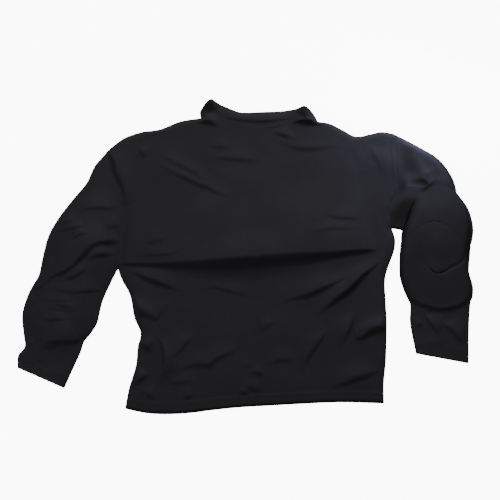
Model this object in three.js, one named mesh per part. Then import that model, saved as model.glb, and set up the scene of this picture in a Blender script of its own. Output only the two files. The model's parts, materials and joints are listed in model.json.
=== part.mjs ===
// Padded compression shirt, laid flat with its back upward.
// Millimetres, +Z up. The shirt's width runs along X and its length along Y, with the hem towards -Y.
// "left" is -X and "right" is +X, as seen from above with the hem nearest.
import * as THREE from 'three';

// Cloth, seams and layers
const WALL = 1.6; // thickness of one layer of stretch cloth
const SEAM_GAP = 0.3; // space kept between two pieces at a seam
const LAYERS_TOP = 2 * WALL + SEAM_GAP; // top of the upper layer where two layers lie on each other
const BODY_LOFT = 3.0; // how far the back panel rises above its flat seams
const SLEEVE_LOFT = 2.0;
const EDGE_ROLL = 14; // width over which the cloth rises from a folded or sewn edge

// Grid of each piece
const SHOULDER_COLUMNS = 9;
const NECK_COLUMNS = 12;
const COLLAR_ROWS = 5;
const PAD_CELLS = 10;
const HEM_POINTS = 16;

// Sections of the body from hem to shoulder: the two side edges, how far the section sags between
// them, and how many rows of the cloth's grid lie between it and the next section.
const BODY_SECTIONS = [
  { place: 'hem', leftX: -203, leftY: -297, rightX: 236, rightY: -288, sag: 0, rows: 2 },
  { place: 'above hem', leftX: -198, leftY: -261, rightX: 237, rightY: -256, sag: 6, rows: 2 },
  { place: 'hip', leftX: -188, leftY: -220, rightX: 243, rightY: -211, sag: 4, rows: 2 },
  { place: 'waist', leftX: -186, leftY: -185, rightX: 246, rightY: -172, sag: 0, rows: 2 },
  { place: 'waist nick', leftX: -182, leftY: -161, rightX: 248, rightY: -138, sag: 0, rows: 2 },
  { place: 'ribs', leftX: -194, leftY: -132, rightX: 248, rightY: -100, sag: 2, rows: 2 },
  { place: 'lower chest', leftX: -204, leftY: -88, rightX: 249, rightY: -57, sag: 8, rows: 2 },
  { place: 'fold foot', leftX: -220, leftY: -58, rightX: 258, rightY: -28, sag: 14, rows: 2 },
  { place: 'left underarm', leftX: -227, leftY: -37, rightX: 266, rightY: -8, sag: 16, rows: 4 },
  { place: 'fold crest', leftX: -228, leftY: -14, rightX: 271, rightY: 18, sag: 15, rows: 2 },
  { place: 'right underarm', leftX: -229, leftY: 12, rightX: 266, rightY: 42, sag: 11, rows: 2 },
  { place: 'chest', leftX: -225, leftY: 48, rightX: 259, rightY: 73, sag: 6, rows: 1 },
  { place: 'shoulder blade', leftX: -222, leftY: 80, rightX: 267, rightY: 95, sag: 2, rows: 2 },
  { place: 'upper back', leftX: -223, leftY: 112, rightX: 279, rightY: 122, sag: 0, rows: 2 },
  { place: 'yoke', leftX: -234, leftY: 149, rightX: 280, rightY: 172, sag: 0, rows: 2 },
  { place: 'below shoulder', leftX: -251, leftY: 186, rightX: 279, rightY: 213, sag: 0, rows: 1 },
  { place: 'shoulder tip', leftX: -262, leftY: 200, rightX: 280, rightY: 241, sag: 0, rows: 0 },
];

// Edges of the body that run across it, as points from left to right
const HEM = [
  [-203, -297], [-184, -302], [-160, -306], [-126, -307], [-93, -305],
  [-56, -300], [-8, -295], [42, -292], [93, -289], [161, -286], [236, -288],
];
const LEFT_SHOULDER = [[-262, 200], [-246, 217], [-226, 233], [-195, 245], [-161, 251], [-124, 268], [-84, 276]];
const BACK_NECK = [
  [-84, 276], [-73, 264], [-56, 258], [-10, 252], [27, 251], [65, 254], [99, 261], [122, 264], [137, 268],
];
const RIGHT_SHOULDER = [[137, 268], [160, 263], [184, 249], [208, 235], [234, 240], [257, 245], [280, 241]];
const FRONT_NECK = [
  [-84, 276], [-79, 250], [-62, 228], [-30, 212], [26, 204], [82, 210], [113, 226], [131, 247], [137, 268],
];

// Collar, a band folded flat: its two end folds and its two upper edges
const COLLAR_LEFT_FOLD = [[-84, 276], [-87, 288], [-79, 300], [-66, 311]];
const COLLAR_RIGHT_FOLD = [[137, 268], [132, 279], [125, 287], [112, 296]];
const COLLAR_BACK_EDGE = [
  [-66, 311], [-50, 305], [-20, 291], [-8, 287], [31, 288], [71, 290], [94, 294], [112, 296],
];
const COLLAR_FRONT_EDGE = [[-66, 311], [-48, 284], [-16, 266], [26, 260], [68, 263], [96, 276], [112, 296]];
const COLLAR_END_GAP = 2.2; // the collar's end folds start clear of the shoulder seams' corners
const COLLAR_EARS = [
  { x: -70, y: 308, lift: 13, reach: 26 },
  { x: 116, y: 294, lift: 12, reach: 24 },
];

// Sections of the sleeves from armhole to cuff: inner edge, outer edge, and grid rows to the next
const LEFT_SLEEVE_SECTIONS = [
  { place: 'armhole', innerX: -227, innerY: -37, outerX: -262, outerY: 200, rows: 1 },
  { place: 'sleeve head', innerX: -230, innerY: -43, outerX: -281, outerY: 172, rows: 1 },
  { place: 'upper arm', innerX: -232, innerY: -49, outerX: -294, outerY: 136, rows: 1 },
  { place: 'upper arm pad', innerX: -235, innerY: -56, outerX: -314, outerY: 106, rows: 1 },
  { place: 'above elbow', innerX: -239, innerY: -67, outerX: -338, outerY: 68, rows: 2 },
  { place: 'elbow', innerX: -246, innerY: -85, outerX: -356, outerY: 28, rows: 2 },
  { place: 'below elbow', innerX: -252, innerY: -105, outerX: -363, outerY: -12, rows: 2 },
  { place: 'forearm fold', innerX: -255, innerY: -124, outerX: -368, outerY: -50, rows: 2 },
  { place: 'forearm', innerX: -259, innerY: -144, outerX: -382, outerY: -82, rows: 2 },
  { place: 'lower forearm', innerX: -268, innerY: -161, outerX: -391, outerY: -124, rows: 2 },
  { place: 'pad end', innerX: -279, innerY: -177, outerX: -386, outerY: -161, rows: 1 },
  { place: 'wrist', innerX: -284, innerY: -196, outerX: -382, outerY: -186, rows: 1 },
  { place: 'cuff seam', innerX: -294, innerY: -223, outerX: -392, outerY: -202, rows: 2 },
  { place: 'cuff', innerX: -308, innerY: -261, outerX: -391, outerY: -224, rows: 0 },
];
const RIGHT_SLEEVE_SECTIONS = [
  { place: 'armhole', innerX: 266, innerY: 42, outerX: 280, outerY: 241, rows: 1 },
  { place: 'sleeve head', innerX: 272, innerY: 41, outerX: 300, outerY: 229, rows: 1 },
  { place: 'shoulder', innerX: 277, innerY: 40, outerX: 331, outerY: 209, rows: 1 },
  { place: 'shoulder pad end', innerX: 281, innerY: 39, outerX: 361, outerY: 186, rows: 1 },
  { place: 'upper arm', innerX: 284, innerY: 36, outerX: 382, outerY: 150, rows: 1 },
  { place: 'above elbow', innerX: 283, innerY: 27, outerX: 390, outerY: 110, rows: 2 },
  { place: 'elbow', innerX: 279, innerY: 6, outerX: 410, outerY: 60, rows: 2 },
  { place: 'below elbow', innerX: 276, innerY: -20, outerX: 406, outerY: 6, rows: 2 },
  { place: 'forearm', innerX: 275, innerY: -55, outerX: 399, outerY: -47, rows: 2 },
  { place: 'pad end', innerX: 282, innerY: -84, outerX: 402, outerY: -78, rows: 1 },
  { place: 'wrist', innerX: 290, innerY: -106, outerX: 396, outerY: -110, rows: 2 },
  { place: 'cuff seam', innerX: 288, innerY: -140, outerX: 391, outerY: -148, rows: 2 },
  { place: 'cuff', innerX: 295, innerY: -198, outerX: 385, outerY: -216, rows: 0 },
];

// Largest folds of the cloth. Each runs along its points and is a rounded ridge, or a trough where
// its lift is negative; upper and lower are its widths on the +Y and -Y sides of the line.
const BODY_FOLDS = [
  {
    place: 'fold across the back', lift: 8.5, upper: 34, lower: 8, fullFrom: 0.34, fullTo: 0.62,
    points: [[-240, -22], [-152, -24], [-68, -27], [3, -23], [75, -15], [147, -4], [240, 10]],
  },
  {
    place: 'ridge to the right underarm', lift: 7, upper: 13, lower: 10, fullFrom: 0.15, fullTo: 0.5,
    points: [[262, -28], [198, -72], [150, -112], [112, -140]],
  },
  {
    place: 'ridge beside it', lift: 4.5, upper: 14, lower: 10, fullFrom: 0.3, fullTo: 0.6,
    points: [[190, -44], [132, -66], [90, -84], [48, -106]],
  },
  {
    place: 'right side tuck', lift: 6, upper: 12, lower: 8, fullFrom: 0.05, fullTo: 0.5,
    points: [[256, -146], [220, -150], [186, -162]],
  },
  {
    place: 'left side tuck', lift: 6.5, upper: 14, lower: 8, fullFrom: 0.05, fullTo: 0.5,
    points: [[-206, -106], [-172, -112], [-136, -132]],
  },
  {
    place: 'left side bend', lift: 4.5, upper: 12, lower: 12, fullFrom: 0.3, fullTo: 0.7,
    points: [[-160, -158], [-147, -198], [-146, -234], [-156, -268]],
  },
  {
    place: 'lower right sweep', lift: 3.5, upper: 14, lower: 10, fullFrom: 0.1, fullTo: 0.5,
    points: [[246, -214], [197, -234], [150, -250], [111, -256]],
  },
  {
    place: 'lower right slant', lift: 3.5, upper: 12, lower: 12, fullFrom: 0.3, fullTo: 0.7,
    points: [[140, -152], [112, -190], [92, -238]],
  },
  {
    place: 'left blade slant', lift: 3.5, upper: 14, lower: 9, fullFrom: 0.3, fullTo: 0.7,
    points: [[-186, 196], [-134, 168], [-84, 144], [-30, 112]],
  },
];
const LEFT_SLEEVE_FOLDS = [
  {
    place: 'fold round the elbow', lift: 7, upper: 15, lower: 7, fullFrom: 0.1, fullTo: 0.75,
    points: [[-224, 26], [-252, 14], [-270, 2], [-290, -19], [-308, -38], [-329, -50], [-349, -60], [-380, -74]],
  },
  {
    place: 'second elbow fold', lift: 4.5, upper: 10, lower: 8, fullFrom: 0.1, fullTo: 0.6,
    points: [[-228, -6], [-255, -12], [-276, -26], [-296, -48]],
  },
];
const RIGHT_SLEEVE_FOLDS = [
  {
    place: 'forearm slant', lift: 3.5, upper: 9, lower: 7, fullFrom: 0.3, fullTo: 0.7,
    points: [[318, -138], [330, -154], [342, -174]],
  },
  {
    place: 'wrist slant', lift: 3.5, upper: 9, lower: 7, fullFrom: 0.3, fullTo: 0.7,
    points: [[352, -142], [366, -160], [382, -182]],
  },
];
const COLLAR_FOLDS = [
  {
    place: 'rolled line of the collar', lift: 2.5, upper: 7, lower: 5, fullFrom: 0.2, fullTo: 0.8,
    points: [[-60, 296], [-24, 280], [1, 275], [27, 274], [58, 276], [90, 286]],
  },
];

// Pads sewn on the right sleeve, which lie upward. Each has four edges in plan.
const PAD_SEAT = LAYERS_TOP + SLEEVE_LOFT + SEAM_GAP; // underside of the pads on the flat sleeve
const PAD_EDGE = 2.0; // thickness of a pad at its sewn edge
const PAD_CHANNEL = 2.5; // width of the sewn channel between two pads
const CUP_CENTRE = [343, 0];
const CUP_UPPER_EDGE = [[293, 3], [301, 24], [324, 42], [342, 49], [360, 42], [378, 20], [395, -8]];
const CUP_LOWER_EDGE = [[293, 3], [302, -14], [324, -37], [341, -50], [365, -40], [386, -26], [395, -8]];
const ELBOW_RIM = [[281, 24], [296, 68], [305, 91], [318, 108], [340, 118], [367, 118], [387, 108]];
const ELBOW_OUTER_EDGE = [[398, -5], [407, 10], [413, 34], [413, 56], [408, 81], [400, 97], [387, 108]];
const FOREARM_OUTER_EDGE = [[394, -105], [400, -97], [404, -76], [399, -47], [399, -14]];
const FOREARM_END = [[289, -103], [304, -112], [324, -120], [350, -123], [377, -116], [394, -105]];
const FOREARM_INNER_EDGE = [[289, -103], [281, -82], [277, -55], [278, -22], [288, 0]];
const SHOULDER_SEAM_EDGE = [[284, 117], [284, 150], [284, 200], [285, 233]];
const SHOULDER_OUTER_EDGE = [[285, 233], [297, 227], [320, 213], [341, 198], [358, 185], [368, 172]];
const SHOULDER_LIP = [[317, 121], [330, 126], [346, 140], [360, 156], [368, 172]];
const SHOULDER_LOWER_EDGE = [[284, 117], [300, 119], [317, 121]];
const UPPER_ARM_LIP = [[322, 117], [334, 124], [349, 137], [363, 153], [371, 167]];
const UPPER_ARM_RIM = [[322, 114], [340, 121.5], [367, 121.5], [387, 112]];
const UPPER_ARM_OUTER_EDGE = [[387, 112], [386, 132], [380, 152], [371, 167]];
const SHOULDER_FOLDS = [
  {
    place: 'valley before the lip', lift: -7, upper: 12, lower: 10, fullFrom: 0.3, fullTo: 0.9,
    points: [[316, 208], [327, 178], [338, 153]],
  },
];

// Pads sewn on the left sleeve, which lie under it. They are ranges of the sleeve's own grid, and the
// sleeve is lifted over them: the shares say how soon the lift is full from each edge.
const LEFT_PAD_THICKNESS = 9;
const LEFT_PAD_INNER_SHARE = 0.22;
const LEFT_PAD_OUTER_SHARE = 0.16;
const LEFT_PAD_START = 0.06;
const LEFT_PAD_END = 0.84;
const LEFT_PAD_RAMP = 0.12;
const LEFT_PAD_CHANNEL = 0.1; // share of a grid cell left open at a pad's first and last row
const LEFT_PADS = [
  { node: 'left_shoulder_pad', firstRow: 2, lastRow: 4, firstColumn: 8, lastColumn: 14 },
  { node: 'left_elbow_pad', firstRow: 4, lastRow: 10, firstColumn: 3, lastColumn: 14 },
  { node: 'left_forearm_pad', firstRow: 10, lastRow: 14, firstColumn: 3, lastColumn: 14 },
];

// Cloth and foam: near-black, with the pads' covers a little smoother
const CLOTH = { color: 0x212124, roughness: 0.82, metalness: 0 };
const PAD_COVER = { color: 0x232328, roughness: 0.7, metalness: 0 };

const mix = (a, b, t) => a + (b - a) * t;
const clamp = (t) => Math.min(1, Math.max(0, t));
const ease = (t) => Math.sin((Math.PI / 2) * clamp(t));
const smooth = (t) => clamp(t) ** 2 * (3 - 2 * clamp(t));
const dome = (t) => Math.sqrt(1 - (1 - clamp(t)) ** 2);

function spline(points) {
  const vectors = points.map(([x, y]) => new THREE.Vector3(x, y, 0));
  const curve = new THREE.CatmullRomCurve3(vectors, false, 'centripetal');
  curve.arcLengthDivisions = 400;
  return curve;
}

// A smooth curve through points, as a function from a share of its length to a point.
function curveThrough(points) {
  const curve = spline(points);
  return (share) => {
    const p = curve.getPointAt(clamp(share));
    return [p.x, p.y];
  };
}

const samples = (curve, count) => Array.from({ length: count + 1 }, (_, i) => curve(i / count));

// Patch between four curves: south and north run with u, west and east run with v.
function patch(south, north, west, east) {
  return (u, v) => [0, 1].map((k) => {
    const across = mix(south(u)[k], north(u)[k], v) + mix(west(v)[k], east(v)[k], u);
    const corners = mix(mix(south(0)[k], south(1)[k], u), mix(north(0)[k], north(1)[k], u), v);
    return across - corners;
  });
}

// Moves a point towards another by a distance.
function moveTowards(point, goal, by) {
  const length = Math.hypot(goal[0] - point[0], goal[1] - point[1]);
  return [0, 1].map((k) => point[k] + ((goal[k] - point[k]) * by) / length);
}

// Nearest place on a run of straight lines: its distance, its share of the run, and the side.
function nearest(points, x, y) {
  const lengths = points.slice(1).map((p, i) => Math.hypot(p[0] - points[i][0], p[1] - points[i][1]));
  const total = lengths.reduce((sum, length) => sum + length, 0);
  let best = { distance: Infinity, share: 0, above: true };
  let before = 0;
  lengths.forEach((length, i) => {
    const [ax, ay] = points[i];
    const [bx, by] = points[i + 1];
    const t = clamp(((x - ax) * (bx - ax) + (y - ay) * (by - ay)) / length ** 2);
    const distance = Math.hypot(x - mix(ax, bx, t), y - mix(ay, by, t));
    if (distance < best.distance) {
      best = { distance, share: (before + t * length) / total, above: y > mix(ay, by, t) };
    }
    before += length;
  });
  return best;
}

const edgeDistance = (edges, x, y) => Math.min(...edges.map((edge) => nearest(edge, x, y).distance));

// Height that a table of folds adds at a point of the plan.
function foldHeight(folds, x, y) {
  return folds.reduce((height, fold) => {
    const near = nearest(fold.points, x, y);
    const width = near.above ? fold.upper : fold.lower;
    const rise = smooth(near.share / fold.fullFrom);
    const fall = smooth((1 - near.share) / (1 - fold.fullTo));
    const taper = Math.min(rise, fall);
    return height + fold.lift * taper * Math.exp(-((near.distance / width) ** 2));
  }, 0);
}

// Six times the signed volume of a triangle mesh, used to turn its faces outward.
function signedVolume(vertices, faces) {
  let sum = 0;
  for (let f = 0; f < faces.length; f += 3) {
    const [a, b, c] = faces.slice(f, f + 3).map((i) => new THREE.Vector3(...vertices[i]));
    sum += a.dot(b.cross(c));
  }
  return sum;
}

function closedGeometry(vertices, faces) {
  const index = signedVolume(vertices, faces) < 0 ? faces.slice().reverse() : faces;
  const geometry = new THREE.BufferGeometry();
  geometry.setAttribute('position', new THREE.Float32BufferAttribute(vertices.flat(), 3));
  geometry.setIndex(index);
  geometry.computeVertexNormals();
  return geometry;
}

const quad = (a, b, c, d) => [a, b, c, a, c, d];

// Closed solid from two grids of points, its upper and lower skins.
function slab(upper, lower) {
  const lastRow = upper.length - 1;
  const lastColumn = upper[0].length - 1;
  const top = (r, c) => r * (lastColumn + 1) + c;
  const under = (r, c) => (lastRow + 1) * (lastColumn + 1) + top(r, c);
  const faces = [];
  for (let r = 0; r < lastRow; r += 1) {
    for (let c = 0; c < lastColumn; c += 1) {
      faces.push(...quad(top(r, c), top(r, c + 1), top(r + 1, c + 1), top(r + 1, c)));
      faces.push(...quad(under(r, c), under(r + 1, c), under(r + 1, c + 1), under(r, c + 1)));
    }
    faces.push(...quad(top(r, 0), top(r + 1, 0), under(r + 1, 0), under(r, 0)));
    const far = lastColumn;
    faces.push(...quad(under(r, far), under(r + 1, far), top(r + 1, far), top(r, far)));
  }
  for (let c = 0; c < lastColumn; c += 1) {
    faces.push(...quad(under(0, c), under(0, c + 1), top(0, c + 1), top(0, c)));
    const end = lastRow;
    faces.push(...quad(top(end, c), top(end, c + 1), under(end, c + 1), under(end, c)));
  }
  return closedGeometry([...upper.flat(), ...lower.flat()], faces);
}

// Tube open at both ends, from one outer and one inner ring of points at each station along it.
function tube(outer, inner) {
  const last = outer.length - 1;
  const around = outer[0].length;
  const out = (s, i) => s * around + (i % around);
  const inn = (s, i) => (last + 1) * around + out(s, i);
  const faces = [];
  for (let i = 0; i < around; i += 1) {
    for (let s = 0; s < last; s += 1) {
      faces.push(...quad(out(s, i), out(s, i + 1), out(s + 1, i + 1), out(s + 1, i)));
      faces.push(...quad(inn(s, i), inn(s + 1, i), inn(s + 1, i + 1), inn(s, i + 1)));
    }
    faces.push(...quad(inn(0, i), inn(0, i + 1), out(0, i + 1), out(0, i)));
    faces.push(...quad(out(last, i), out(last, i + 1), inn(last, i + 1), inn(last, i)));
  }
  return closedGeometry([...outer.flat(), ...inner.flat()], faces);
}

// Shares of a table's run at which its grid has a row: each section's own, and those between.
function gridShares(sections) {
  const last = sections.length - 1;
  const shares = sections.slice(0, last).flatMap((section, i) =>
    Array.from({ length: section.rows }, (_, s) => (i + s / section.rows) / last));
  return [...shares, 1];
}

// Rows of the body's grid: both ends, the sag between them, and the name of a section's own row.
function bodyRows() {
  const last = BODY_SECTIONS.length - 1;
  const left = spline(BODY_SECTIONS.map((row) => [row.leftX, row.leftY]));
  const right = spline(BODY_SECTIONS.map((row) => [row.rightX, row.rightY]));
  return gridShares(BODY_SECTIONS).map((share) => {
    const i = Math.min(last - 1, Math.floor(share * last + 1e-9));
    const between = share * last - i;
    const l = left.getPoint(share);
    const r = right.getPoint(share);
    const place = Math.abs(between) < 1e-9 ? BODY_SECTIONS[i].place : '';
    const sag = mix(BODY_SECTIONS[i].sag, BODY_SECTIONS[i + 1].sag, between);
    return { share, place, left: [l.x, l.y], right: [r.x, r.y], sag };
  });
}

const BODY_ROWS = bodyRows();
const rowOf = (place) => BODY_ROWS.findIndex((row) => row.place === place);
const LEFT_ARMHOLE = BODY_ROWS.slice(rowOf('left underarm')).map((row) => row.left);
const RIGHT_ARMHOLE = BODY_ROWS.slice(rowOf('right underarm')).map((row) => row.right);
const BODY_EDGES = [
  BODY_ROWS.slice(0, rowOf('left underarm') + 1).map((row) => row.left),
  BODY_ROWS.slice(0, rowOf('right underarm') + 1).map((row) => row.right),
  HEM,
  LEFT_SHOULDER,
  RIGHT_SHOULDER,
];

// Upper edge of the back panel, point by point: left shoulder, neck, right shoulder.
const BACK_NECK_POINTS = samples(curveThrough(BACK_NECK), NECK_COLUMNS);
const FRONT_NECK_POINTS = samples(curveThrough(FRONT_NECK), NECK_COLUMNS);
const BACK_TOP = [
  ...samples(curveThrough(LEFT_SHOULDER), SHOULDER_COLUMNS),
  ...BACK_NECK_POINTS.slice(1),
  ...samples(curveThrough(RIGHT_SHOULDER), SHOULDER_COLUMNS).slice(1),
];

// Point of the back panel's plan. Rows run between the side edges, sag as the table says, and bend to
// the hem's curve at the bottom and to the shoulders and neck at the top.
const HEM_FADE = 9;
const TOP_FADE = 5;
function backPoint(row, column) {
  const last = BACK_TOP.length - 1;
  const u = column / last;
  const hem = curveThrough(HEM);
  return [0, 1].map((k) => {
    const straight = mix(row.left[k], row.right[k], u);
    const hemBow = (hem(u)[k] - mix(hem(0)[k], hem(1)[k], u)) * (1 - row.share) ** HEM_FADE;
    const topLine = mix(BACK_TOP[0][k], BACK_TOP[last][k], u);
    const topBow = (BACK_TOP[column][k] - topLine) * row.share ** TOP_FADE;
    const sag = k === 1 ? row.sag * 4 * u * (1 - u) : 0;
    return straight + hemBow + topBow - sag;
  });
}

function backHeight(x, y) {
  const roll = ease(edgeDistance(BODY_EDGES, x, y) / EDGE_ROLL);
  return LAYERS_TOP + Math.max(0, BODY_LOFT + foldHeight(BODY_FOLDS, x, y)) * roll;
}

function backPanel() {
  const upper = BODY_ROWS.map((row) => BACK_TOP.map((_, column) => {
    const [x, y] = backPoint(row, column);
    return [x, y, backHeight(x, y)];
  }));
  const lower = upper.map((row) => row.map(([x, y, z]) => [x, y, z - WALL]));
  return slab(upper, lower);
}

// Front panel, flat on the floor under the back panel. Its outline goes round by hem, sides,
// shoulders and the lower front neck, drawn in by the seam's gap.
function frontPanel() {
  const middle = [20, 0];
  const open = (points) => points.slice(0, -1);
  const loop = [
    ...open(samples(curveThrough(HEM), HEM_POINTS)),
    ...open(BODY_ROWS.map((row) => row.right)),
    ...open(samples(curveThrough(RIGHT_SHOULDER), SHOULDER_COLUMNS).reverse()),
    ...open(FRONT_NECK_POINTS.slice().reverse()),
    ...open(samples(curveThrough(LEFT_SHOULDER), SHOULDER_COLUMNS).reverse()),
    ...open(BODY_ROWS.map((row) => row.left).reverse()),
  ];
  const outline = loop.map((point) => new THREE.Vector2(...moveTowards(point, middle, SEAM_GAP)));
  return new THREE.ExtrudeGeometry(new THREE.Shape(outline), { depth: WALL, bevelEnabled: false });
}

// Plan of a sleeve: sections from its table, with the armhole's own curve at the first one.
const ARMHOLE_FADE = 6;
function sleevePlan(sections, armhole, outward) {
  const inner = spline(sections.map((row) => [row.innerX, row.innerY]));
  const outer = spline(sections.map((row) => [row.outerX, row.outerY]));
  const last = armhole.length - 1;
  const columns = armhole.map((_, c) => c / last);
  const straight = (k, share) => mix(armhole[0][k], armhole[last][k], share);
  const bow = armhole.map((p, c) => [0, 1].map((k) => p[k] - straight(k, c / last)));
  const point = (share, column) => {
    const place = column * last;
    const c = Math.min(last - 1, Math.floor(place));
    const a = inner.getPoint(share);
    const b = outer.getPoint(share);
    const fade = (1 - share) ** ARMHOLE_FADE;
    const bent = [0, 1].map((k) => mix(bow[c][k], bow[c + 1][k], place - c) * fade);
    const gap = outward * 1.5 * SEAM_GAP * fade;
    return [mix(a.x, b.x, column) + bent[0] + gap, mix(a.y, b.y, column) + bent[1]];
  };
  const shares = gridShares(sections);
  const edges = [0, 1].map((column) => shares.map((share) => point(share, column)));
  return { shares, columns, point, edges };
}

const LEFT_PLAN = sleevePlan(LEFT_SLEEVE_SECTIONS, LEFT_ARMHOLE, -1);
const RIGHT_PLAN = sleevePlan(RIGHT_SLEEVE_SECTIONS, RIGHT_ARMHOLE, 1);

// How far the pads under the left sleeve lift it at a share of its length and width.
function leftLift(share, column) {
  const across = smooth(column / LEFT_PAD_INNER_SHARE) * smooth((1 - column) / LEFT_PAD_OUTER_SHARE);
  const along = smooth((share - LEFT_PAD_START) / LEFT_PAD_RAMP)
    * smooth((LEFT_PAD_END - share) / LEFT_PAD_RAMP);
  return LEFT_PAD_THICKNESS * across * along;
}

// Lowest and highest surface of each sleeve at a point of its plan.
function leftSurface(share, column) {
  const [x, y] = LEFT_PLAN.point(share, column);
  const roll = ease(edgeDistance(LEFT_PLAN.edges, x, y) / EDGE_ROLL);
  const low = leftLift(share, column);
  const high = low + LAYERS_TOP + (SLEEVE_LOFT + foldHeight(LEFT_SLEEVE_FOLDS, x, y)) * roll;
  return { x, y, low, high };
}

function rightSurface(share, column) {
  const [x, y] = RIGHT_PLAN.point(share, column);
  const roll = ease(edgeDistance(RIGHT_PLAN.edges, x, y) / EDGE_ROLL);
  const high = LAYERS_TOP + (SLEEVE_LOFT + foldHeight(RIGHT_SLEEVE_FOLDS, x, y)) * roll;
  return { x, y, low: 0, high };
}

// Sleeve as a flattened tube: each ring runs over the upper layer and back under the lower one.
function sleeve(plan, surface) {
  const ring = (share, inset) => {
    const [a, b] = [plan.point(share, 0), plan.point(share, 1)];
    const side = inset / Math.hypot(b[0] - a[0], b[1] - a[1]);
    const places = plan.columns.map((column) => surface(share, mix(side, 1 - side, column)));
    const upper = places.map(({ x, y, high }) => [x, y, high - inset]);
    const lower = places.map(({ x, y, low }) => [x, y, low + inset]);
    return [...upper, ...lower.reverse()];
  };
  return tube(plan.shares.map((share) => ring(share, 0)), plan.shares.map((share) => ring(share, WALL)));
}

// Pad under the left sleeve: flat below, and above it the sleeve's own points moved down by the gap.
function leftPad({ firstRow, lastRow, firstColumn, lastColumn }) {
  const columns = LEFT_PLAN.columns.slice(firstColumn, lastColumn + 1);
  const rows = [];
  for (let row = firstRow; row <= lastRow; row += 1) {
    rows.push(columns.map((column) => leftSurface(LEFT_PLAN.shares[row], column)));
  }
  const between = (a, b) => a.map((p, c) => ({
    x: mix(p.x, b[c].x, LEFT_PAD_CHANNEL),
    y: mix(p.y, b[c].y, LEFT_PAD_CHANNEL),
    low: mix(p.low, b[c].low, LEFT_PAD_CHANNEL),
  }));
  const last = rows.length - 1;
  const grid = [between(rows[0], rows[1]), ...rows.slice(1, last), between(rows[last], rows[last - 1])];
  const upper = grid.map((row) => row.map(({ x, y, low }) => [x, y, low - SEAM_GAP]));
  const lower = grid.map((row) => row.map(({ x, y }) => [x, y, 0]));
  return slab(upper, lower);
}

// Height by which the collar's two corners stand up.
function earLift(x, y) {
  return COLLAR_EARS.reduce(
    (lift, ear) => lift + ear.lift * smooth(1 - Math.hypot(x - ear.x, y - ear.y) / ear.reach), 0);
}

// Collar as a flattened tube: its back half above, its front half below, joined at the end folds.
function collarBand() {
  const aboveNeck = [26, 300];
  const insideNeck = [26, 262];
  const gapAt = (i) => (i % NECK_COLUMNS === 0 ? COLLAR_END_GAP : 1.5 * SEAM_GAP);
  const backSeam = BACK_NECK_POINTS.map((point, i) => moveTowards(point, aboveNeck, gapAt(i)));
  const frontSeam = FRONT_NECK_POINTS.map((point, i) => moveTowards(point, insideNeck, gapAt(i)));
  const half = (seam, edge) => {
    const west = curveThrough([seam[0], ...COLLAR_LEFT_FOLD.slice(1)]);
    const east = curveThrough([seam[NECK_COLUMNS], ...COLLAR_RIGHT_FOLD.slice(1)]);
    const along = (u) => {
      const i = Math.min(NECK_COLUMNS - 1, Math.floor(u * NECK_COLUMNS + 1e-9));
      return [0, 1].map((k) => mix(seam[i][k], seam[i + 1][k], u * NECK_COLUMNS - i));
    };
    return patch(along, curveThrough(edge), west, east);
  };
  const back = half(backSeam, COLLAR_BACK_EDGE);
  const front = half(frontSeam, COLLAR_FRONT_EDGE);
  const freeEdges = [COLLAR_LEFT_FOLD, COLLAR_RIGHT_FOLD, COLLAR_BACK_EDGE];
  const backTop = (x, y) => {
    const roll = ease(edgeDistance(freeEdges, x, y) / EDGE_ROLL);
    return LAYERS_TOP + (BODY_LOFT + foldHeight(COLLAR_FOLDS, x, y)) * roll + earLift(x, y);
  };
  const width = COLLAR_RIGHT_FOLD[0][0] - COLLAR_LEFT_FOLD[0][0];
  const ring = (v, inset) => {
    const side = inset / width;
    const shares = Array.from({ length: NECK_COLUMNS + 1 }, (_, i) => mix(side, 1 - side, i / NECK_COLUMNS));
    const upper = shares.map((u) => back(u, v)).map(([x, y]) => [x, y, backTop(x, y) - inset]);
    const lower = shares.map((u) => front(u, v)).map(([x, y]) => [x, y, earLift(x, y) + inset]);
    return [...upper, ...lower.reverse()];
  };
  const stations = Array.from({ length: COLLAR_ROWS + 1 }, (_, i) => i / COLLAR_ROWS);
  return tube(stations.map((v) => ring(v, 0)), stations.map((v) => ring(v, WALL)));
}

// Pad on the right sleeve: flat below, domed above, thin at its sewn edge.
function domedPad({ south, north, west, east, thickness, roll, folds = [] }) {
  const plan = patch(...[south, north, west, east].map(curveThrough));
  const shares = Array.from({ length: PAD_CELLS + 1 }, (_, i) => i / PAD_CELLS);
  const points = shares.map((v) => shares.map((u) => plan(u, v)));
  const upper = points.map((row) => row.map(([x, y]) => {
    const rise = dome(edgeDistance([south, north, west, east], x, y) / roll);
    const height = Math.max(PAD_EDGE, PAD_EDGE + (thickness - PAD_EDGE + foldHeight(folds, x, y)) * rise);
    return [x, y, PAD_SEAT + height];
  }));
  const lower = points.map((row) => row.map(([x, y]) => [x, y, PAD_SEAT]));
  return slab(upper, lower);
}

const outset = (points) => points.map((point) => moveTowards(point, CUP_CENTRE, -PAD_CHANNEL));

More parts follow.
